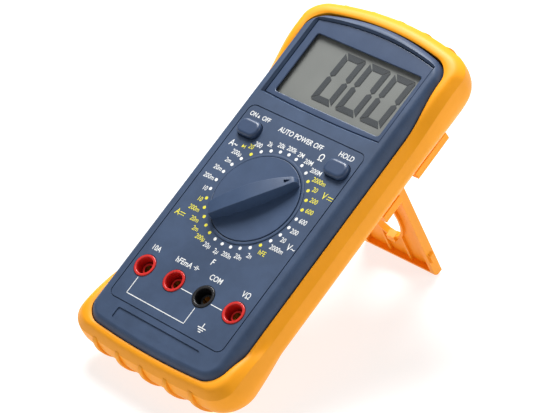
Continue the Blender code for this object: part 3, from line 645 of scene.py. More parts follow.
# %% Smooth rings
def smoothed(rings, creases=(), steps=4):
    """Adds rings on curves through the given ones, broken at the creases."""
    marks = [0, *creases, len(rings) - 1]
    finer = [rings[0]]
    for start, end in zip(marks, marks[1:]):
        run = rings[start : end + 1]
        first = [2 * a - b for a, b in zip(run[0], run[1])]
        last = [2 * a - b for a, b in zip(run[-1], run[-2])]
        run = [first, *run, last]
        for k in range(1, len(run) - 2):
            before, low, high, after = run[k - 1 : k + 3]
            for step in range(1, steps + 1):
                t = step / steps
                finer.append([
                    0.5 * (2 * b + (c - a) * t + (2 * a - 5 * b + 4 * c - d) * t**2
                           + (3 * b - a - 3 * c + d) * t**3)
                    for a, b, c, d in zip(before, low, high, after)
                ])
    return finer


# %% [markdown]
# The first ring bounds the flat back. Between it and the second, the lower end has the flat that
# the meter stands on, which slopes at the meter's lean. Then the wall swells, is widest a little
# above the middle of its height and turns over into the lip, which ends close to the case's
# rounded edge. The rings past the lip go back down inside, a little off the case.

# %% The holster's rings
HOLSTER_BACK = -36.5
LAND_V, LAND_W = -80.4, -32.6
HOLSTER_TOP, HOLSTER_BOTTOM = 108.6, -91.8
land_back = LAND_V + (LAND_W - HOLSTER_BACK) / math.tan(math.radians(lean))
outer_rings = [
    holster_ring((30.0, HOLSTER_BACK), (32.0, HOLSTER_BACK), 91.0, land_back, 12.0, 0.3, ARCH_LAND),
    holster_ring((35.2, -33.8), (38.3, LAND_W), 97.5, LAND_V, 14.0, 0.3, ARCH_LAND),
    holster_ring((40.2, -29.2), (44.3, -27.2), 103.0, -85.4, 15.0, 0.3),
    holster_ring((44.6, -24.1), (49.4, -20.8), 107.0, -90.0, 14.5, 0.2),
    holster_ring((48.4, -18.2), (51.3, -15.3), HOLSTER_TOP, HOLSTER_BOTTOM, 12.8, 0.25),
    holster_ring((48.3, -14.0), (50.9, -10.6), HOLSTER_TOP + 0.3, HOLSTER_BOTTOM, 11.5, 0.6),
    holster_ring((47.7, -10.3), (49.5, -6.0), 108.4, -91.0, 10.2, late=2.0),
    holster_ring((45.9, -8.2), (46.4, -2.9), 105.2, -88.2, 8.9, late=7.0),
    holster_ring((44.3, -6.2), (44.1, -2.2), 102.4, -86.1, 8.8, late=11.0),
    holster_ring((43.6, -6.0), (42.2, -2.6), 100.9, -84.9, 9.4, late=13.0),
]
POCKET_HALF_WIDTH, POCKET_TOP, POCKET_BOTTOM = 43.7, 102.4, -86.4
# Each ring of the pocket: how far it is moved in, and its height.
POCKET = ((0.0, -9.2), (0.0, -17.3), (1.0, -21.7), (4.0, -26.4), (8.0, -30.4), (12.7, -33.4))
inner_rings = [holster_ring((43.7, -7.6), (43.35, -5.6), 102.05, -86.05, 11.0, arch=ARCH_CASE)]
for inset, w in POCKET:
    size = (POCKET_HALF_WIDTH - inset, w)
    top, bottom = POCKET_TOP - inset, POCKET_BOTTOM + inset
    corner = min(11.4, 19.4 - inset)
    inner_rings.append(holster_ring(size, size, top, bottom, corner, arch=ARCH_CASE))
shell_rings = smoothed(outer_rings, creases=(1, 6)) + inner_rings
holster = as_object("holster_shell", loft(shell_rings))
print("holster rings:", len(shell_rings))

# %% [markdown]
# Behind the shell's edges stand the hooks that hold a pair of test probes, and the two ears
# that carry the stand. Each is an outline pulled to its length. They are joined to the shell
# with a Boolean, so the rubber is one solid, as it is when it leaves its mould.

# %% Hooks and ears
HOOK_SPANS = ((57.5, 81.8), (32.0, 45.0))
EAR_INNER, EAR_OUTER = 23.7, 27.4
EAR_RADIUS, PIVOT_HOLE = 4.7, 1.9
ROOT = -35.2
hinge_at = METER.inverted() @ Vector(joints["stand_hinge"]["pos_m"])
HINGE_V, HINGE_W = hinge_at.y, hinge_at.z


def end_prism(outline, v0, v1):
    """An outline in (u, w), pulled along v."""
    return loft([[(u, v, w) for u, w in outline] for v in (v0, v1)])


def side_prism(outline, u0, u1):
    """An outline in (v, w), pulled along u."""
    return loft([[(u, v, w) for v, w in outline] for u in (u0, u1)])


def hook_outline(side):
    tip, under, face = 31.0, -43.0, -48.0
    points = [(EAR_INNER, ROOT)]
    points += arc((EAR_INNER + 1.0, face + 1.0), 1.0, 180, 270, 5)
    points += arc((tip - 1.0, face + 1.0), 1.0, 270, 360, 5)
    points += arc((tip - 0.5, under - 0.5), 0.5, 0, 90, 4)
    points += arc((EAR_OUTER + 0.8, under + 0.8), 0.8, 270, 180, 4)
    points.append((EAR_OUTER, ROOT))
    return [(side * u, w) for u, w in points]


extras, pivots = [], []
for side in (-1, 1):
    for low, high in HOOK_SPANS:
        extras.append(end_prism(hook_outline(side), low, high))
    ear = arc((HINGE_V, HINGE_W), EAR_RADIUS, 180, 360, 20)
    ear += [(HINGE_V + EAR_RADIUS, ROOT), (HINGE_V - EAR_RADIUS, ROOT)]
    extras.append(side_prism(ear, side * (EAR_INNER + 0.05), side * (EAR_OUTER - 0.05)))
    circle = arc((HINGE_V, HINGE_W), PIVOT_HOLE, 0, 348, 29)
    pivots.append(side_prism(circle, side * (EAR_INNER - 1), side * (EAR_OUTER + 1)))
boolean(holster, extras, "UNION")
boolean(holster, pivots, "DIFFERENCE")
rounded_off(holster, 0.3, 2, 26)
piece(holster, holster_rubber, "meter", ["holster"], 24)

# %% [markdown]
# Crescent ribs run over both end walls, five in a row, to take a knock. What repeats in a row
# suits Geometry Nodes: one rib is the input, and the tree sets a row of points across the
# end, bows the row as the end wall is bowed, and puts a copy of the rib on each. The same tree
# will set the digits side by side.


# %% A tree that copies along a bowed row
def new_tree(name, inputs):
    """A Geometry Nodes tree with named inputs, given as name: (socket kind, default)."""
    tree = bpy.data.node_groups.new(name, "GeometryNodeTree")
    tree.interface.new_socket("Geometry", in_out="INPUT", socket_type="NodeSocketGeometry")
    for label, (kind, default) in inputs.items():
        socket = tree.interface.new_socket(label, in_out="INPUT", socket_type="NodeSocket" + kind)
        if default is not None:
            socket.default_value = default
    tree.interface.new_socket("Geometry", in_out="OUTPUT", socket_type="NodeSocketGeometry")
    return tree


def add_node(tree, kind, settings=None, inputs=None):
    """A node, with its settings first and then its inputs, each a value or an output."""
    made = tree.nodes.new(kind)
    for label, value in (settings or {}).items():
        setattr(made, label, value)
    for label, value in (inputs or {}).items():
        if isinstance(value, bpy.types.NodeSocket):
            tree.links.new(value, made.inputs[label])
        else:
            made.inputs[label].default_value = value
    return made


def add_math(tree, operation, first, second=0.0):
    return add_node(tree, "ShaderNodeMath", {"operation": operation}, {0: first, 1: second}).outputs[0]


def copies_at(tree, u, v, given):
    """Puts a copy of the input on each point, realizes the copies and sets their material."""
    spot = add_node(tree, "ShaderNodeCombineXYZ", {}, {"X": u, "Y": v}).outputs[0]
    inputs = {"Count": given.outputs["Count"], "Position": spot}
    points = add_node(tree, "GeometryNodePoints", {}, inputs)
    inputs = {"Points": points.outputs[0], "Instance": given.outputs["Geometry"]}
    copies = add_node(tree, "GeometryNodeInstanceOnPoints", {}, inputs)
    inputs = {"Geometry": copies.outputs[0]}
    real = add_node(tree, "GeometryNodeRealizeInstances", {}, inputs)
    inputs = {"Geometry": real.outputs[0], "Material": given.outputs["Material"]}
    colored = add_node(tree, "GeometryNodeSetMaterial", {}, inputs)
    add_node(tree, "NodeGroupOutput", {}, {"Geometry": colored.outputs[0]})
    return tree


def bowed_row_tree():
    tree = new_tree("bowed_row", {
        "Count": ("Int", 5),
        "Pitch": ("Float", 15.5),
        "Bow": ("Float", 0.0),
        "Material": ("Material", None),
    })
    given = add_node(tree, "NodeGroupInput")
    index = add_node(tree, "GeometryNodeInputIndex").outputs[0]
    last = add_math(tree, "SUBTRACT", given.outputs["Count"], 1.0)
    centered = add_math(tree, "SUBTRACT", index, add_math(tree, "MULTIPLY", last, 0.5))
    u = add_math(tree, "MULTIPLY", centered, given.outputs["Pitch"])
    squared = add_math(tree, "MULTIPLY", u, u)
    v = add_math(tree, "MULTIPLY", squared, given.outputs["Bow"])
    return copies_at(tree, u, v, given)


def run_tree(made, tree, **values):
    """Runs a tree on an object and keeps the mesh it makes."""
    modifier = made.modifiers.new(tree.name, "NODES")
    modifier.node_group = tree
    for item in tree.interface.items_tree:
        if item.in_out == "INPUT" and item.name in values:
            modifier[item.identifier] = values[item.name]
    return applied(made)


bowed_row = bowed_row_tree()
print("row tree:", len(bowed_row.nodes), "nodes")

# %% [markdown]
# A rib is a crescent seen from the side: it starts and ends in the wall and stands proudest a
# little above its middle. A power of a sine gives that full curve from one number, the bulge.
# The upper row is the lower one seen in a mirror.

# %% Ribs on the end walls
RIB_WIDTH, RIB_PITCH = 2.7, 15.5
RIB_TOP, RIB_LENGTH = -5.0, 21.2


def rib(bulge):
    """One crescent rib for the lower end, its inner side sunk in the wall."""
    steps = 20
    outline = []
    for i in range(steps + 1):
        share = i / steps
        lift = bulge * math.sin(math.pi * share**0.8) ** 0.75
        v = HOLSTER_BOTTOM + 1.4 + 1.6 * share - lift
        outline.append((v, RIB_TOP - RIB_LENGTH * share))
    outline += [(HOLSTER_BOTTOM + 3.2, -20.0), (HOLSTER_BOTTOM + 2.8, -11.0)]
    return side_prism(outline, -RIB_WIDTH / 2, RIB_WIDTH / 2)


mirror_to_top = Matrix.Translation((0, HOLSTER_TOP + HOLSTER_BOTTOM, 0)) @ Matrix.Scale(-1, 4, (0, 1, 0))
for name, bulge, radius, at_top in (
    ("lower_ribs", 3.5, ARCH_HOLSTER[1], False),
    ("upper_ribs", 3.6, ARCH_HOLSTER[0], True),
):
    ribs = rounded_off(as_object(name, rib(bulge)), 0.55, 3, 40)
    run_tree(ribs, bowed_row, Count=5, Pitch=RIB_PITCH, Bow=0.5 / radius, Material=holster_rubber)
    if at_top:
        ribs.data.transform(mirror_to_top)
        ribs.data.flip_normals()
    piece(ribs, holster_rubber, "meter", angle=40)

# %% [markdown]
# ## The stand
#
# The stand and the small moulded covers have their full shape in CAD already, apart from the
# softness of a moulded edge. A copy of the CAD mesh is welded, its flat areas are dissolved
# into whole faces, and a narrow bevel rounds every edge.


# %% Softened copies of CAD nodes
WELD = 0.002
FLAT = math.radians(0.5)


def softened(node, name, width):
    """A copy of a CAD node with rounded edges, in millimetres in the meter's frame."""
    shape = bmesh.new()
    shape.from_mesh(cad[node].data)
    bmesh.ops.transform(shape, matrix=METER.inverted(), verts=shape.verts)
    bmesh.ops.remove_doubles(shape, verts=shape.verts, dist=WELD)
    bmesh.ops.dissolve_limit(shape, angle_limit=FLAT, verts=shape.verts, edges=shape.edges)
    return rounded_off(as_object(name, shape), width)


stand = softened("stand", "holster_stand", 0.3)
piece(stand, stand_plastic, "stand", ["stand"])

# %% [markdown]
# ## The front of the case
#
# The front case is a shallow tray. Its face is flat and turns down into the sides in a quarter
# ellipse, deeper than it is wide. We loft that outside, hollow it with a second loft that leaves
# the screw posts standing, and cut the holes for display, keys, dial and jacks. A fine groove
# frames the controls, and a thin raised ring guards the dial's edge. First come the sizes, and
# the outlines that the case shares with the pieces set into it.

# %% Case sizes
CASE_HALF_WIDTH, CASE_TOP, CASE_BOTTOM, CASE_CORNER = 43.3, 102.0, -86.0, 11.0
FACE_EDGE, FACE_EDGE_DEPTH = 5.0, 9.0
PARTING, WALL, GAP = -17.0, 2.4, 0.3
BUTTON_U, BUTTON_V, BUTTON_LENGTH, BUTTON_WIDTH = 27.5, 28.5, 12.6, 8.6
JACK_PITCH, JACK_V = 19.0, -50.65
JACKS = ("ten_amp", "milliamp", "common", "volt_ohm")
CASE_SCREWS = ((-31.0, 92.6), (31.0, 92.6), (-33.5, -78.5), (33.5, -78.5))
BOARD_SCREWS = ((-34.5, 41.0), (34.5, 41.0), (0.0, -66.0))
BOARD_TOP = -9.5
OUTSIDE_STEPS, HOLLOW_STEPS = (14, 10, 24), (4, 3, 6)
JACK_U = [JACK_PITCH * (index - 1.5) for index in range(4)]


def case_ring(inset, w, steps=OUTSIDE_STEPS):
    """The case's plan, moved in by inset, at height w."""
    top, bottom = CASE_TOP - inset, CASE_BOTTOM + inset
    points = plan(CASE_HALF_WIDTH - inset, top, bottom, CASE_CORNER - inset, steps)
    return [(u, v, w) for u, v in bowed(points, top, bottom, ARCH_CASE)]


def bezel_outline(grow=0.0):
    """The display panel: straight sides, arched above and bowed a little below."""
    half, low, high, arch, bow = 35.7 + grow, 49.0 - grow, 95.6 + grow, 162.0, 1.0
    steps = 24
    across = [(-half + 2 * half * i / steps) for i in range(steps + 1)]
    points = [(u, low - bow * (1 - (u / half) ** 2)) for u in across]
    return points + [(u, high - u * u / (2 * arch)) for u in reversed(across)]


def button_outline(grow=0.0):
    half, deep = BUTTON_LENGTH / 2 + grow, BUTTON_WIDTH / 2 + grow
    return rounded(-half, half, -deep, deep, deep - 0.6, 12)


# %% [markdown]
# The outside needs a ring every few degrees round the face's edge. The hollow hides behind it,
# so four plain rings do. Where the case has a post for a screw, the hollow gets a hole instead:
# what is not cut away stays standing.

# %% Outside and hollow
def case_outside():
    """Rings from the parting line up and round the quarter ellipse to the face."""
    rings = [case_ring(0.0, PARTING)]
    steps = 14
    for i in range(steps + 1):
        angle = math.pi / 2 * (1 - i / steps)
        inset = FACE_EDGE * (1 - math.sin(angle))
        rings.append(case_ring(inset, -FACE_EDGE_DEPTH * (1 - math.cos(angle))))
    return loft(rings)


def case_hollow():
    hollow = as_object("hollow", loft([
        case_ring(WALL, PARTING - 1, HOLLOW_STEPS),
        case_ring(WALL, -FACE_EDGE_DEPTH, HOLLOW_STEPS),
        case_ring(WALL + 1.5, -WALL - 2.2, HOLLOW_STEPS),
        case_ring(WALL + 4.0, -WALL - 0.1, HOLLOW_STEPS),
    ]))
    posts = [cylinder(3.0, PARTING - 2, 1, place, 24) for place in CASE_SCREWS]
    posts += [cylinder(2.8, BOARD_TOP + GAP, 1, place, 24) for place in BOARD_SCREWS]
    return as_shape(boolean(hollow, posts, "DIFFERENCE"))


# %% [markdown]
# Everything that is cut from the face is gathered in one list, because one Boolean with many
# cutters is faster than many Booleans. The display's opening flares towards the front, and each
# jack's hole has a shallow seat for the sleeve's rim.

# %% Cut the face
DIAL_HOLE = 22.35
DIAL_RIM = [(22.0, -1.2), (23.7, -1.2), (23.7, 0.2), (23.55, 0.38), (23.2, 0.45)]
DIAL_RIM += [(22.6, 0.45), (22.1, 0.3)]
DISPLAY_FLARE = ((GAP, -5.0), (GAP, -1.5), (GAP + 0.9, -0.1), (GAP + 1.0, 2.0))
JACK_SEAT = ((5.1, -5), (5.1, -0.8), (5.8, -0.8), (5.8, 5))
GROOVE_WIDTH, GROOVE_DEPTH = 0.5, 0.4
PLATE, PLATE_DEPTH = (-26.2, 26.2, -78.6, -72.8), 0.5


def groove(half, low, high, radius):
    """The square-cut groove that frames the controls. Its sizes are those of its outer edge."""
    outer = rounded(-half, half, low, high, radius)
    half, low, high = half - GROOVE_WIDTH, low + GROOVE_WIDTH, high - GROOVE_WIDTH
    inner = rounded(-half, half, low, high, radius - GROOVE_WIDTH)
    rings = [(outer, -GROOVE_DEPTH), (outer, 1), (inner, 1), (inner, -GROOVE_DEPTH)]
    return loft([[(u, v, w) for u, v in outline] for outline, w in rings], closed=True)


def face_cutters():
    cutters = [cylinder(DIAL_HOLE, -5, 5, segments=128)]
    flare = [[(u, v, w) for u, v in bezel_outline(grow)] for grow, w in DISPLAY_FLARE]
    cutters.append(loft(flare))
    cutters += [moved(turned(JACK_SEAT, 64), u, JACK_V) for u in JACK_U]
    for side in (-1, 1):
        cutters.append(moved(prism(button_outline(0.35), -5, 5), side * BUTTON_U, BUTTON_V))
    cutters.append(prism(rounded(*PLATE, 1.0), -PLATE_DEPTH, 5))
    cutters.append(groove(36.25, -69.95, 40.75, 3.75))
    return cutters


def make_front_case():
    front = as_object("front_case_shell", case_outside())
    boolean(front, [case_hollow()], "DIFFERENCE")
    boolean(front, [turned(DIAL_RIM, 128, closed=True)], "UNION")
    boolean(front, face_cutters(), "DIFFERENCE")
    screw_holes = [cylinder(1.5, PARTING - 2, -7, place, 16) for place in CASE_SCREWS]
    screw_holes += [cylinder(1.3, BOARD_TOP - 2, -4, place, 16) for place in BOARD_SCREWS]
    boolean(front, screw_holes, "DIFFERENCE")
    rounded_off(front, 0.16, 2, 40)
    piece(front, case_plastic, "meter", ["front_case"])


make_front_case()

# %% [markdown]
# ## The range knob
#
# The knob is a shallow dish with a bar across it for the fingers. The bar is a loft of
# sections along its length: wide and tall in the middle, narrow and low at the pointer. Extra
# sections on a smooth curve give its flanks their long swell, and a sunk triangle near the tip
# says which end points.

# %% Range knob
POINTER = math.radians(45.0)
# Each section: its place along the bar, its half widths on top and at the foot, its height.
BAR_SECTIONS = (
    (-21.7, 3.0, 3.1, 4.5),
    (-21.2, 3.2, 3.4, 5.0),
    (-19.0, 3.5, 3.9, 5.6),
    (-14.0, 3.85, 4.4, 6.3),
    (-5.0, 4.15, 4.8, 7.0),
    (1.0, 4.0, 4.6, 7.1),
    (7.0, 3.6, 4.2, 6.8),
    (13.0, 2.95, 3.5, 6.2),
    (18.0, 2.15, 2.6, 5.4),
    (20.6, 1.55, 2.0, 4.8),
    (21.6, 1.25, 1.9, 3.2),
)


def bar_section(reach, half_top, half_foot, top):
    shoulder = 0.32
    side = [(half_foot, -0.6), (half_foot - 0.15, 1.0), (half_top, top - shoulder)]
    side += [(half_top - 0.1, top - 0.1), (half_top - shoulder, top)]
    across = [(-x, w) for x, w in side] + [(x, w) for x, w in reversed(side)]
    return [Vector((reach, x, w)) for x, w in across]


def make_knob():
    disc = [(21.7, -1.8), (22.0, -1.5), (22.0, 0.45)]
    disc += [(21.7 + r, w) for r, w in arc((0.0, 0.5), 0.3, 0, 90, 5)[1:]]
    disc += [(19.0, 0.74), (14.0, 0.66), (8.0, 0.6)]
    knob = as_object("knob", turned(disc, 128))
    to_pointer = Matrix.Rotation(POINTER, 4, "Z")
    bar = loft(smoothed([bar_section(*section) for section in BAR_SECTIONS], steps=5))
    boolean(knob, [moved(bar, matrix=to_pointer)], "UNION")
    hub = prism(((-5, -5), (5, -5), (5, 5), (-5, 5)), -7.4, -1.0)
    boolean(knob, [hub], "UNION")
    arrow = prism(((16.1, -1.0), (19.5, 0.0), (16.1, 1.0)), 4.7, 9.0)
    boolean(knob, [moved(arrow, matrix=to_pointer)], "DIFFERENCE")
    rounded_off(knob, 0.18, 2, 40)
    piece(knob, knob_plastic, "dial", ["range_knob"])


make_knob()

# %% [markdown]
# ## The keys
#
# Each key is a smooth cap in a rounded hole. Its top edge is a quarter ellipse, so that the
# cap catches a soft highlight all round, and a flange below the face keeps it in.


# %% Key caps
KEY_WALL_TOP, KEY_EDGE, KEY_DOME = 1.2, 1.7, 1.5


def make_key(name, side, body, node):
    rings = [(1.1, -3.8), (1.1, -2.9), (0.0, -2.8), (0.0, KEY_WALL_TOP)]
    steps = 10
    for i in range(1, steps + 1):
        angle = math.pi / 2 * i / steps
        inset = KEY_EDGE * (1 - math.cos(angle))
        rings.append((-inset, KEY_WALL_TOP + KEY_DOME * math.sin(angle)))
    shape = loft([[(u, v, w) for u, v in button_outline(grow)] for grow, w in rings])
    moved(shape, side * BUTTON_U, BUTTON_V)
    piece(as_object(name, shape), key_plastic, body, [node], 40)


make_key("power_key_cap", -1, "power_key", "power_button")
make_key("hold_key_cap", 1, "hold_key", "hold_button")

# %% [markdown]
# ## The jacks
#
# A safety jack is a coloured sleeve with a deep well, a thinner post in the middle of it, and
# a sprung brass tube inside the post. The well is what keeps fingers off the contact. Sleeve
# and tube are turned shapes, and two slots make the tube's springs.


# %% Jacks
RIM = [(5.2 + r, w) for r, w in arc((0.0, 0.1), 0.3, 20, 90, 4)]
RIM += [(4.5 + r, w) for r, w in arc((0.0, 0.1), 0.3, 90, 180, 5)]
POST = [(3.0, -8.0), (3.0, -3.6), (2.85, -3.4), (2.15, -3.4), (2.0, -3.55), (2.62, -3.75)]
SLEEVE = [(4.8, -9.2), (4.8, -0.5), (5.5, -0.5), (5.5, 0.1), *RIM, (4.2, -8.0), *POST, (2.62, -9.2)]
TUBE = [(1.0, -12.4), (1.9, -12.2), (2.32, -11.8), (2.32, -4.0), (2.2, -3.8), (2.0, -3.8)]
TUBE += [(2.0, -11.2), (0.3, -11.4)]


def make_jack(name, u):
    to_jack = Matrix.Translation((u, JACK_V, 0.0))
    sleeve = as_object("sleeve_" + name, turned(SLEEVE, 96, closed=True))
    sleeve.data.transform(to_jack)
    material, slot = (black_jack, "black_jack") if name == "common" else (red_jack, "red_jack")
    piece(sleeve, material, "meter", ["jack_sleeve_" + name])

    socket = as_object("socket_" + name, turned(TUBE, 48))
    slit = prism(((-3, -0.25), (3, -0.25), (3, 0.25), (-3, 0.25)), -9.5, 0)
    boolean(socket, [slit], "DIFFERENCE")
    socket.data.transform(to_jack)
    piece(socket, brass, "meter", ["jack_socket_" + name])


for jack_name, jack_u in zip(JACKS, JACK_U):
    make_jack(jack_name, jack_u)

# %% [markdown]
# ## The display
#
# The display sits in three layers: a panel with the opening, the clear window under it, and
# the liquid-crystal glass a little deeper. The dark digits are thin plates just over the glass.
# A real digit throws a faint shadow on the reflector below, which tells it from a printed one,
# so a pale copy of the digits lies under them, a little to one side.

# %% Panel, window and glass
# Each outline: left, right, low and high.
OPENING = (-31.3, 33.4, 51.3, 85.5)
PANE = (-34.8, 34.8, 48.6, 89.0)
REAR_GLASS = (-33.8, 33.8, 48.8, 87.4)
FRONT_GLASS = (-33.8, 33.8, 50.2, 87.4)


def rounded_plate(outline, radius, low, high, steps=8):
    return prism(rounded(*outline, radius, steps), low, high)


def make_display():
    bezel = as_object("display_panel", prism(bezel_outline(), -2.4, -1.4))
    boolean(bezel, [rounded_plate(OPENING, 1.4, -5, 5)], "DIFFERENCE")
    rounded_off(bezel, 0.45, 3, 40)
    piece(bezel, bezel_plastic, "meter", ["display_bezel"])

    window = as_object("window", rounded_plate(PANE, 1.0, -3.3, -2.7))
    rounded_off(window, 0.1, 2, 40)
    piece(window, clear_window, "meter", ["display_window"])

    glass = as_object("liquid_crystal_glass", rounded_plate(REAR_GLASS, 0.5, -6.4, -4.9, 3))
    boolean(glass, [rounded_plate(FRONT_GLASS, 0.5, -5.0, -3.6, 3)], "UNION")
    rounded_off(glass, 0.12, 2, 40)
    piece(glass, lcd_reflector, "meter", ["lcd_glass"])


make_display()

# %% [markdown]
# A nought has six dark segments. The two level ones are bars with mitred ends; the four upright
# ones also have a mitre, and a point where they meet halfway. We write one of each, mirror them
# round the digit, lean the digit a few degrees and let the row tree copy it.

# %% Digits
DIGIT_WIDTH, DIGIT_HEIGHT, SEGMENT = 12.6, 27.4, 3.0
DIGIT_PITCH, DIGIT_CENTER = 15.2, (8.9, 69.3)
SLANT = 0.055
SEGMENT_GAP, CORNER_CUT = 0.13, 0.55


def nought(low, high):
    half_u, half_v = DIGIT_WIDTH / 2, DIGIT_HEIGHT / 2
    inner_u, inner_v = half_u - SEGMENT - SEGMENT_GAP, half_v - SEGMENT
    cut = CORNER_CUT + SEGMENT_GAP
    level = [(half_u - cut, half_v), (-half_u + cut, half_v), (-inner_u, inner_v), (inner_u, inner_v)]
    upright = [
        (half_u, half_v - cut),
        (half_u - SEGMENT, inner_v - SEGMENT_GAP),
        (half_u - SEGMENT, SEGMENT * 0.4 + SEGMENT_GAP),
        (half_u - SEGMENT * 0.4, SEGMENT_GAP),
        (half_u, SEGMENT * 0.3 + SEGMENT_GAP),
    ]
    shapes = []
    for outline, mirrors in (
        (level, ((1, 1), (1, -1))),
        (upright, ((1, 1), (1, -1), (-1, 1), (-1, -1))),
    ):
        for side, end in mirrors:
            shapes.append(prism([(side * u, end * v) for u, v in outline], low, high))
    lean_over = Matrix.Identity(4)
    lean_over[0][1] = SLANT
    return moved(merged(shapes), matrix=lean_over)


def make_digits(name, low, high, shift, material):
    digits = as_object(name, nought(low, high))
    run_tree(digits, bowed_row, Count=3, Pitch=DIGIT_PITCH, Bow=0.0, Material=material)
    u, v = DIGIT_CENTER
    digits.data.transform(Matrix.Translation((u + shift, v - shift, 0.0)))
    piece(digits, material, "meter")


make_digits("digit_shadows", -3.585, -3.565, 0.45, segment_shadow)
make_digits("digits", -3.52, -3.46, 0.0, segment_ink)

# %% [markdown]
# ## The marks on the face
#
# Thirty-two dots ring the dial, one for each position, 11.25 degrees apart. A second tree sets
# points on an arc and puts a dot on each. The positions come in groups by colour, so the tree
# runs once for each run of equal colours.

# %% Dots round the dial
DOT_STEP, DOT_START = 11.25, 146.25
DOT_RING, DOT_RADIUS = 25.42, 0.84


def arc_tree():
    tree = new_tree("dots_on_an_arc", {
        "Count": ("Int", 8),
        "Start": ("Float", 0.0),
        "Step": ("Float", 0.1),
        "Radius": ("Float", 20.0),
        "Material": ("Material", None),
    })
    given = add_node(tree, "NodeGroupInput")
    index = add_node(tree, "GeometryNodeInputIndex").outputs[0]
    turn = add_math(tree, "MULTIPLY", index, given.outputs["Step"])
    angle = add_math(tree, "ADD", given.outputs["Start"], turn)
    u = add_math(tree, "MULTIPLY", add_math(tree, "COSINE", angle), given.outputs["Radius"])
    v = add_math(tree, "MULTIPLY", add_math(tree, "SINE", angle), given.outputs["Radius"])
    return copies_at(tree, u, v, given)


dots_on_an_arc = arc_tree()
WHITE_RUNS = ((0, 1), (2, 7), (13, 4), (18, 5), (28, 4))
YELLOW_RUNS = ((1, 1), (9, 4), (17, 1), (23, 5))


def dots(runs, material):
    """The dots of one colour, as shapes."""
    shapes = []
    profile = ((DOT_RADIUS, -0.05), (DOT_RADIUS, 0.03), (DOT_RADIUS - 0.12, 0.06))
    for first, count in runs:
        run = as_object("run", turned(profile, 24))
        run_tree(
            run,
            dots_on_an_arc,
            Count=count,
            Start=math.radians(DOT_START - DOT_STEP * first),
            Step=-math.radians(DOT_STEP),
            Radius=DOT_RING,
            Material=material,
        )
        shapes.append(as_shape(run))
    return shapes


# %% [markdown]
# Lettering starts as text curves, which Blender can thicken and extrude, and is turned into a
# mesh before it is placed. Only what any meter of this kind carries is written: numbers and
# units round the dial, and plain words for keys and jacks.

# %% Lettering
INK_HALF = 0.035
CAP_SHARE = 0.73
LINE, THIN_LINE, HEAVY_LINE = 0.4, 0.3, 0.45


def lettering(text, u, v, height, align="CENTER", bold=0.04, narrow=0.86):
    """A word in raised ink. height is that of its capitals, in millimetres."""
    curve = bpy.data.curves.new("lettering", "FONT")
    curve.body = text
    curve.align_x = align
    curve.align_y = "CENTER"
    curve.size = height / CAP_SHARE
    curve.extrude = INK_HALF
    curve.offset = bold
    curve.resolution_u = 4
    made = bpy.data.objects.new("lettering", curve)
    bpy.context.collection.objects.link(made)
    shape = bmesh.new()
    shape.from_mesh(evaluated_mesh(made))
    bpy.data.objects.remove(made)
    bmesh.ops.remove_doubles(shape, verts=shape.verts, dist=WELD)
    return moved(shape, u, v, matrix=Matrix.Diagonal((narrow, 1.0, 1.0, 1.0)))


def stroke(points, width):
    """A line of even width through points, one bar for each stretch."""
    bars = []
    for start, end in zip(points, points[1:]):
        start, end = Vector(start), Vector(end)
        way = (end - start).normalized() * width / 2
        side = Vector((-way.y, way.x))
        corners = [start - way - side, end + way - side, end + way + side, start - way + side]
        bars.append(prism([(c.x, c.y) for c in corners], -INK_HALF, INK_HALF))
    return bars


# %% [markdown]
# The dial's numbers stand just outside the dots. Those at the sides are aligned on their inner
# end, so that long and short ones keep the same gap, and those above and below are centred.

# %% Numbers round the dial
DIAL_MARKS = (
    "200µ", "20", "200", "2k", "20k", "200k", "2M", "20M", "200M",
    "2000m", "20", "200", "600", "600", "200", "20", "2000m",
    "hFE", "2n", "20n", "200n", "2µ", "20µ",
    "200µ", "2m", "20m", "200m", "10", "10", "200m", "20m", "2m",
)
NUMBER_HEIGHT = 2.5
NUMBERS_ABOVE, NUMBERS_BELOW = 28.2, 29.8
NUMBERS_LEFT, NUMBERS_MIDDLE, NUMBERS_RIGHT = 26.9, 31.5, 27.3
# One short number would touch the longer one beside it.
CROWDED, NUDGE_U, NUDGE_V = 1, -0.1, 1.3


def dial_numbers(runs):
    shapes = []
    for index in [first + i for first, count in runs for i in range(count)]:
        angle = math.radians(DOT_START - DOT_STEP * index)
        cosine, sine = math.cos(angle), math.sin(angle)
        v = sine * (NUMBERS_ABOVE if sine > 0 else NUMBERS_BELOW)
        if cosine > 0.5:
            u, align = NUMBERS_RIGHT * cosine, "LEFT"
        elif cosine < -0.6:
            u, align = NUMBERS_LEFT * cosine, "RIGHT"
        else:
            u, align = NUMBERS_MIDDLE * cosine - 0.3, "CENTER"
        if index == CROWDED:
            u, v = u + NUDGE_U, v + NUDGE_V
        shapes.append(lettering(DIAL_MARKS[index], u, v, NUMBER_HEIGHT, align, 0.02, 0.84))
    return shapes


# %% [markdown]
# Some units have a sign beside them that a font may lack: direct current, a diode, a capacitor
# and earth. Each is a few straight strokes, so we draw them.

# %% Signs
def direct_sign(u, v):
    """The sign for direct current: a bar over three dashes."""
    bars = stroke([(u - 1.4, v + 0.6), (u + 1.4, v + 0.6)], LINE)
    for dash in (-1.15, 0.0, 1.15):
        bars += stroke([(u + dash - 0.2, v - 0.6), (u + dash + 0.2, v - 0.6)], LINE)
    return bars


def triangle(a, b, c):
    return prism((a, b, c), -INK_HALF, INK_HALF)


def diode_sign(u, v):
    arrow = triangle((u - 0.9, v - 0.9), (u + 0.7, v), (u - 0.9, v + 0.9))
    return [arrow, *stroke([(u + 0.9, v - 0.8), (u + 0.9, v + 0.8)], THIN_LINE)]


def earth_sign(u, v):
    bars = stroke([(u, v + 2.2), (u, v)], HEAVY_LINE)
    for index, half in enumerate((2.2, 1.4, 0.6)):
        bars += stroke([(u - half, v - index), (u + half, v - index)], HEAVY_LINE)
    return bars


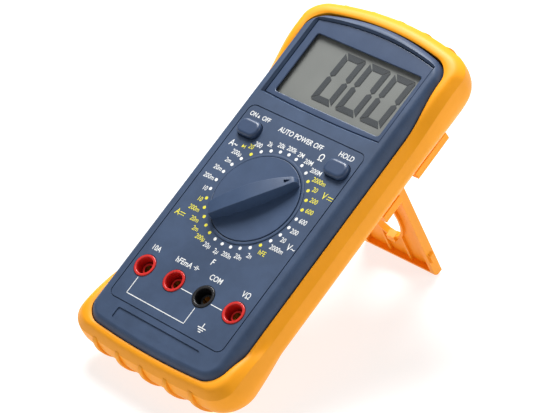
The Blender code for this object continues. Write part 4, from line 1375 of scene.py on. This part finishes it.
def capacitor_sign(u, v):
    bars = []
    for side in (-1, 1):
        plate, end = u + side * 0.35, u + side * 1.6
        bars += stroke([(plate, v), (end, v)], THIN_LINE)
        bars += stroke([(plate, v - 1.0), (plate, v + 1.0)], THIN_LINE)
    return bars


# %% [markdown]
# All the marks of one colour become one piece, as one pass of the printing pad lays them. Each
# word is written with its place on the face and the height of its capitals.

# %% Words and lines
WHITE_WORDS = (
    ("HOLD", 27.2, 36.0, 2.7),
    ("ON", -31.2, 36.0, 2.4),
    ("OFF", -23.2, 36.0, 2.4),
    ("AUTO POWER OFF", -0.1, 34.7, 2.7),
    ("Ω", 16.0, 30.5, 3.6),
    ("A~", -30.2, 19.2, 3.4),
    ("V~", 32.8, -13.2, 3.4),
    ("F", 2.2, -35.0, 3.2),
    ("10A", JACK_U[0] - 0.5, -41.2, 2.8),
    ("hFEmA", JACK_U[1] - 1.6, -41.1, 2.9),
    ("COM", JACK_U[2], -41.2, 2.8),
    ("VΩ", JACK_U[3], -41.2, 3.0),
)
YELLOW_WORDS = (("V", 30.4, 15.0, 3.4), ("A", -32.3, -21.4, 3.2))
JACK_CLEARANCE, JACK_LINE_V = 6.2, JACK_V - 1.5


def white_lines():
    """The bracket under the current jacks, and the lines that join neighbouring jacks."""
    left, right, low = JACK_U[0] + 1.0, JACK_U[2], -65.5
    lines = stroke([(left, -57.0), (left, low), (right, low), (right, -57.2)], LINE)
    for start, end in zip(JACK_U[1:], JACK_U[2:]):
        ends = [(start + JACK_CLEARANCE, JACK_LINE_V), (end - JACK_CLEARANCE, JACK_LINE_V)]
        lines += stroke(ends, LINE)
    return lines


def make_marks():
    white = dots(WHITE_RUNS, white_ink) + dial_numbers(WHITE_RUNS)
    white += [lettering(*word) for word in WHITE_WORDS]
    white.append(triangle((-28.5, 35.2), (-27.1, 35.2), (-27.8, 36.7)))
    white += white_lines() + earth_sign(19.4, -63.4) + capacitor_sign(-3.4, -40.7)
    piece(as_object("white_marks", merged(white)), white_ink, "meter")

    yellow = dots(YELLOW_RUNS, yellow_ink) + dial_numbers(YELLOW_RUNS)
    yellow += [lettering(*word) for word in YELLOW_WORDS]
    yellow += direct_sign(33.8, 15.0) + direct_sign(-29.4, -21.4) + diode_sign(-24.4, 19.9)
    piece(as_object("yellow_marks", merged(yellow)), yellow_ink, "meter")


make_marks()

# %% [markdown]
# ## What lies behind
#
# The rear case, its door and the parts on the board keep their CAD shapes, which suit them.
# Each still gets the finish of what it is made of, because the model can be taken apart. The
# rear case and the door get softened edges as well.

# %% Rear case and door
for node, name in (("rear_case", "rear_case_shell"), ("battery_cover", "battery_door")):
    piece(softened(node, name, 0.2), case_plastic, "meter", [node])

# %% [markdown]
# The loose parts' names say what they are, so a finish is chosen by how a name starts. Where
# several starts fit, the longest one counts. What is left is moulded in dark plastic.

# %% Finishes of the inner parts
INNER_FINISHES = {
    "main_board": circuit_board,
    "wiper_": brass,
    "fuse_clip_": brass,
    "detent_": steel,
    "case_screw_": steel,
    "board_screw_": steel,
    "battery_cover_screw": steel,
    "fuse_": ceramic,
    "zebra_strip_": zebra_rubber,
    "battery": jacket,
    "battery_snap": dark_plastic,
    "battery_lead_red": red_wire,
    "battery_lead_black": black_wire,
    "current_shunt": shunt_wire,
}
for node, shown in cad.items():
    starts = [start for start in INNER_FINISHES if node.startswith(start)]
    finish = INNER_FINISHES[max(starts, key=len)] if starts else dark_plastic
    for slot in shown.material_slots:
        slot.material = finish
print("CAD nodes with a finish:", len(cad))
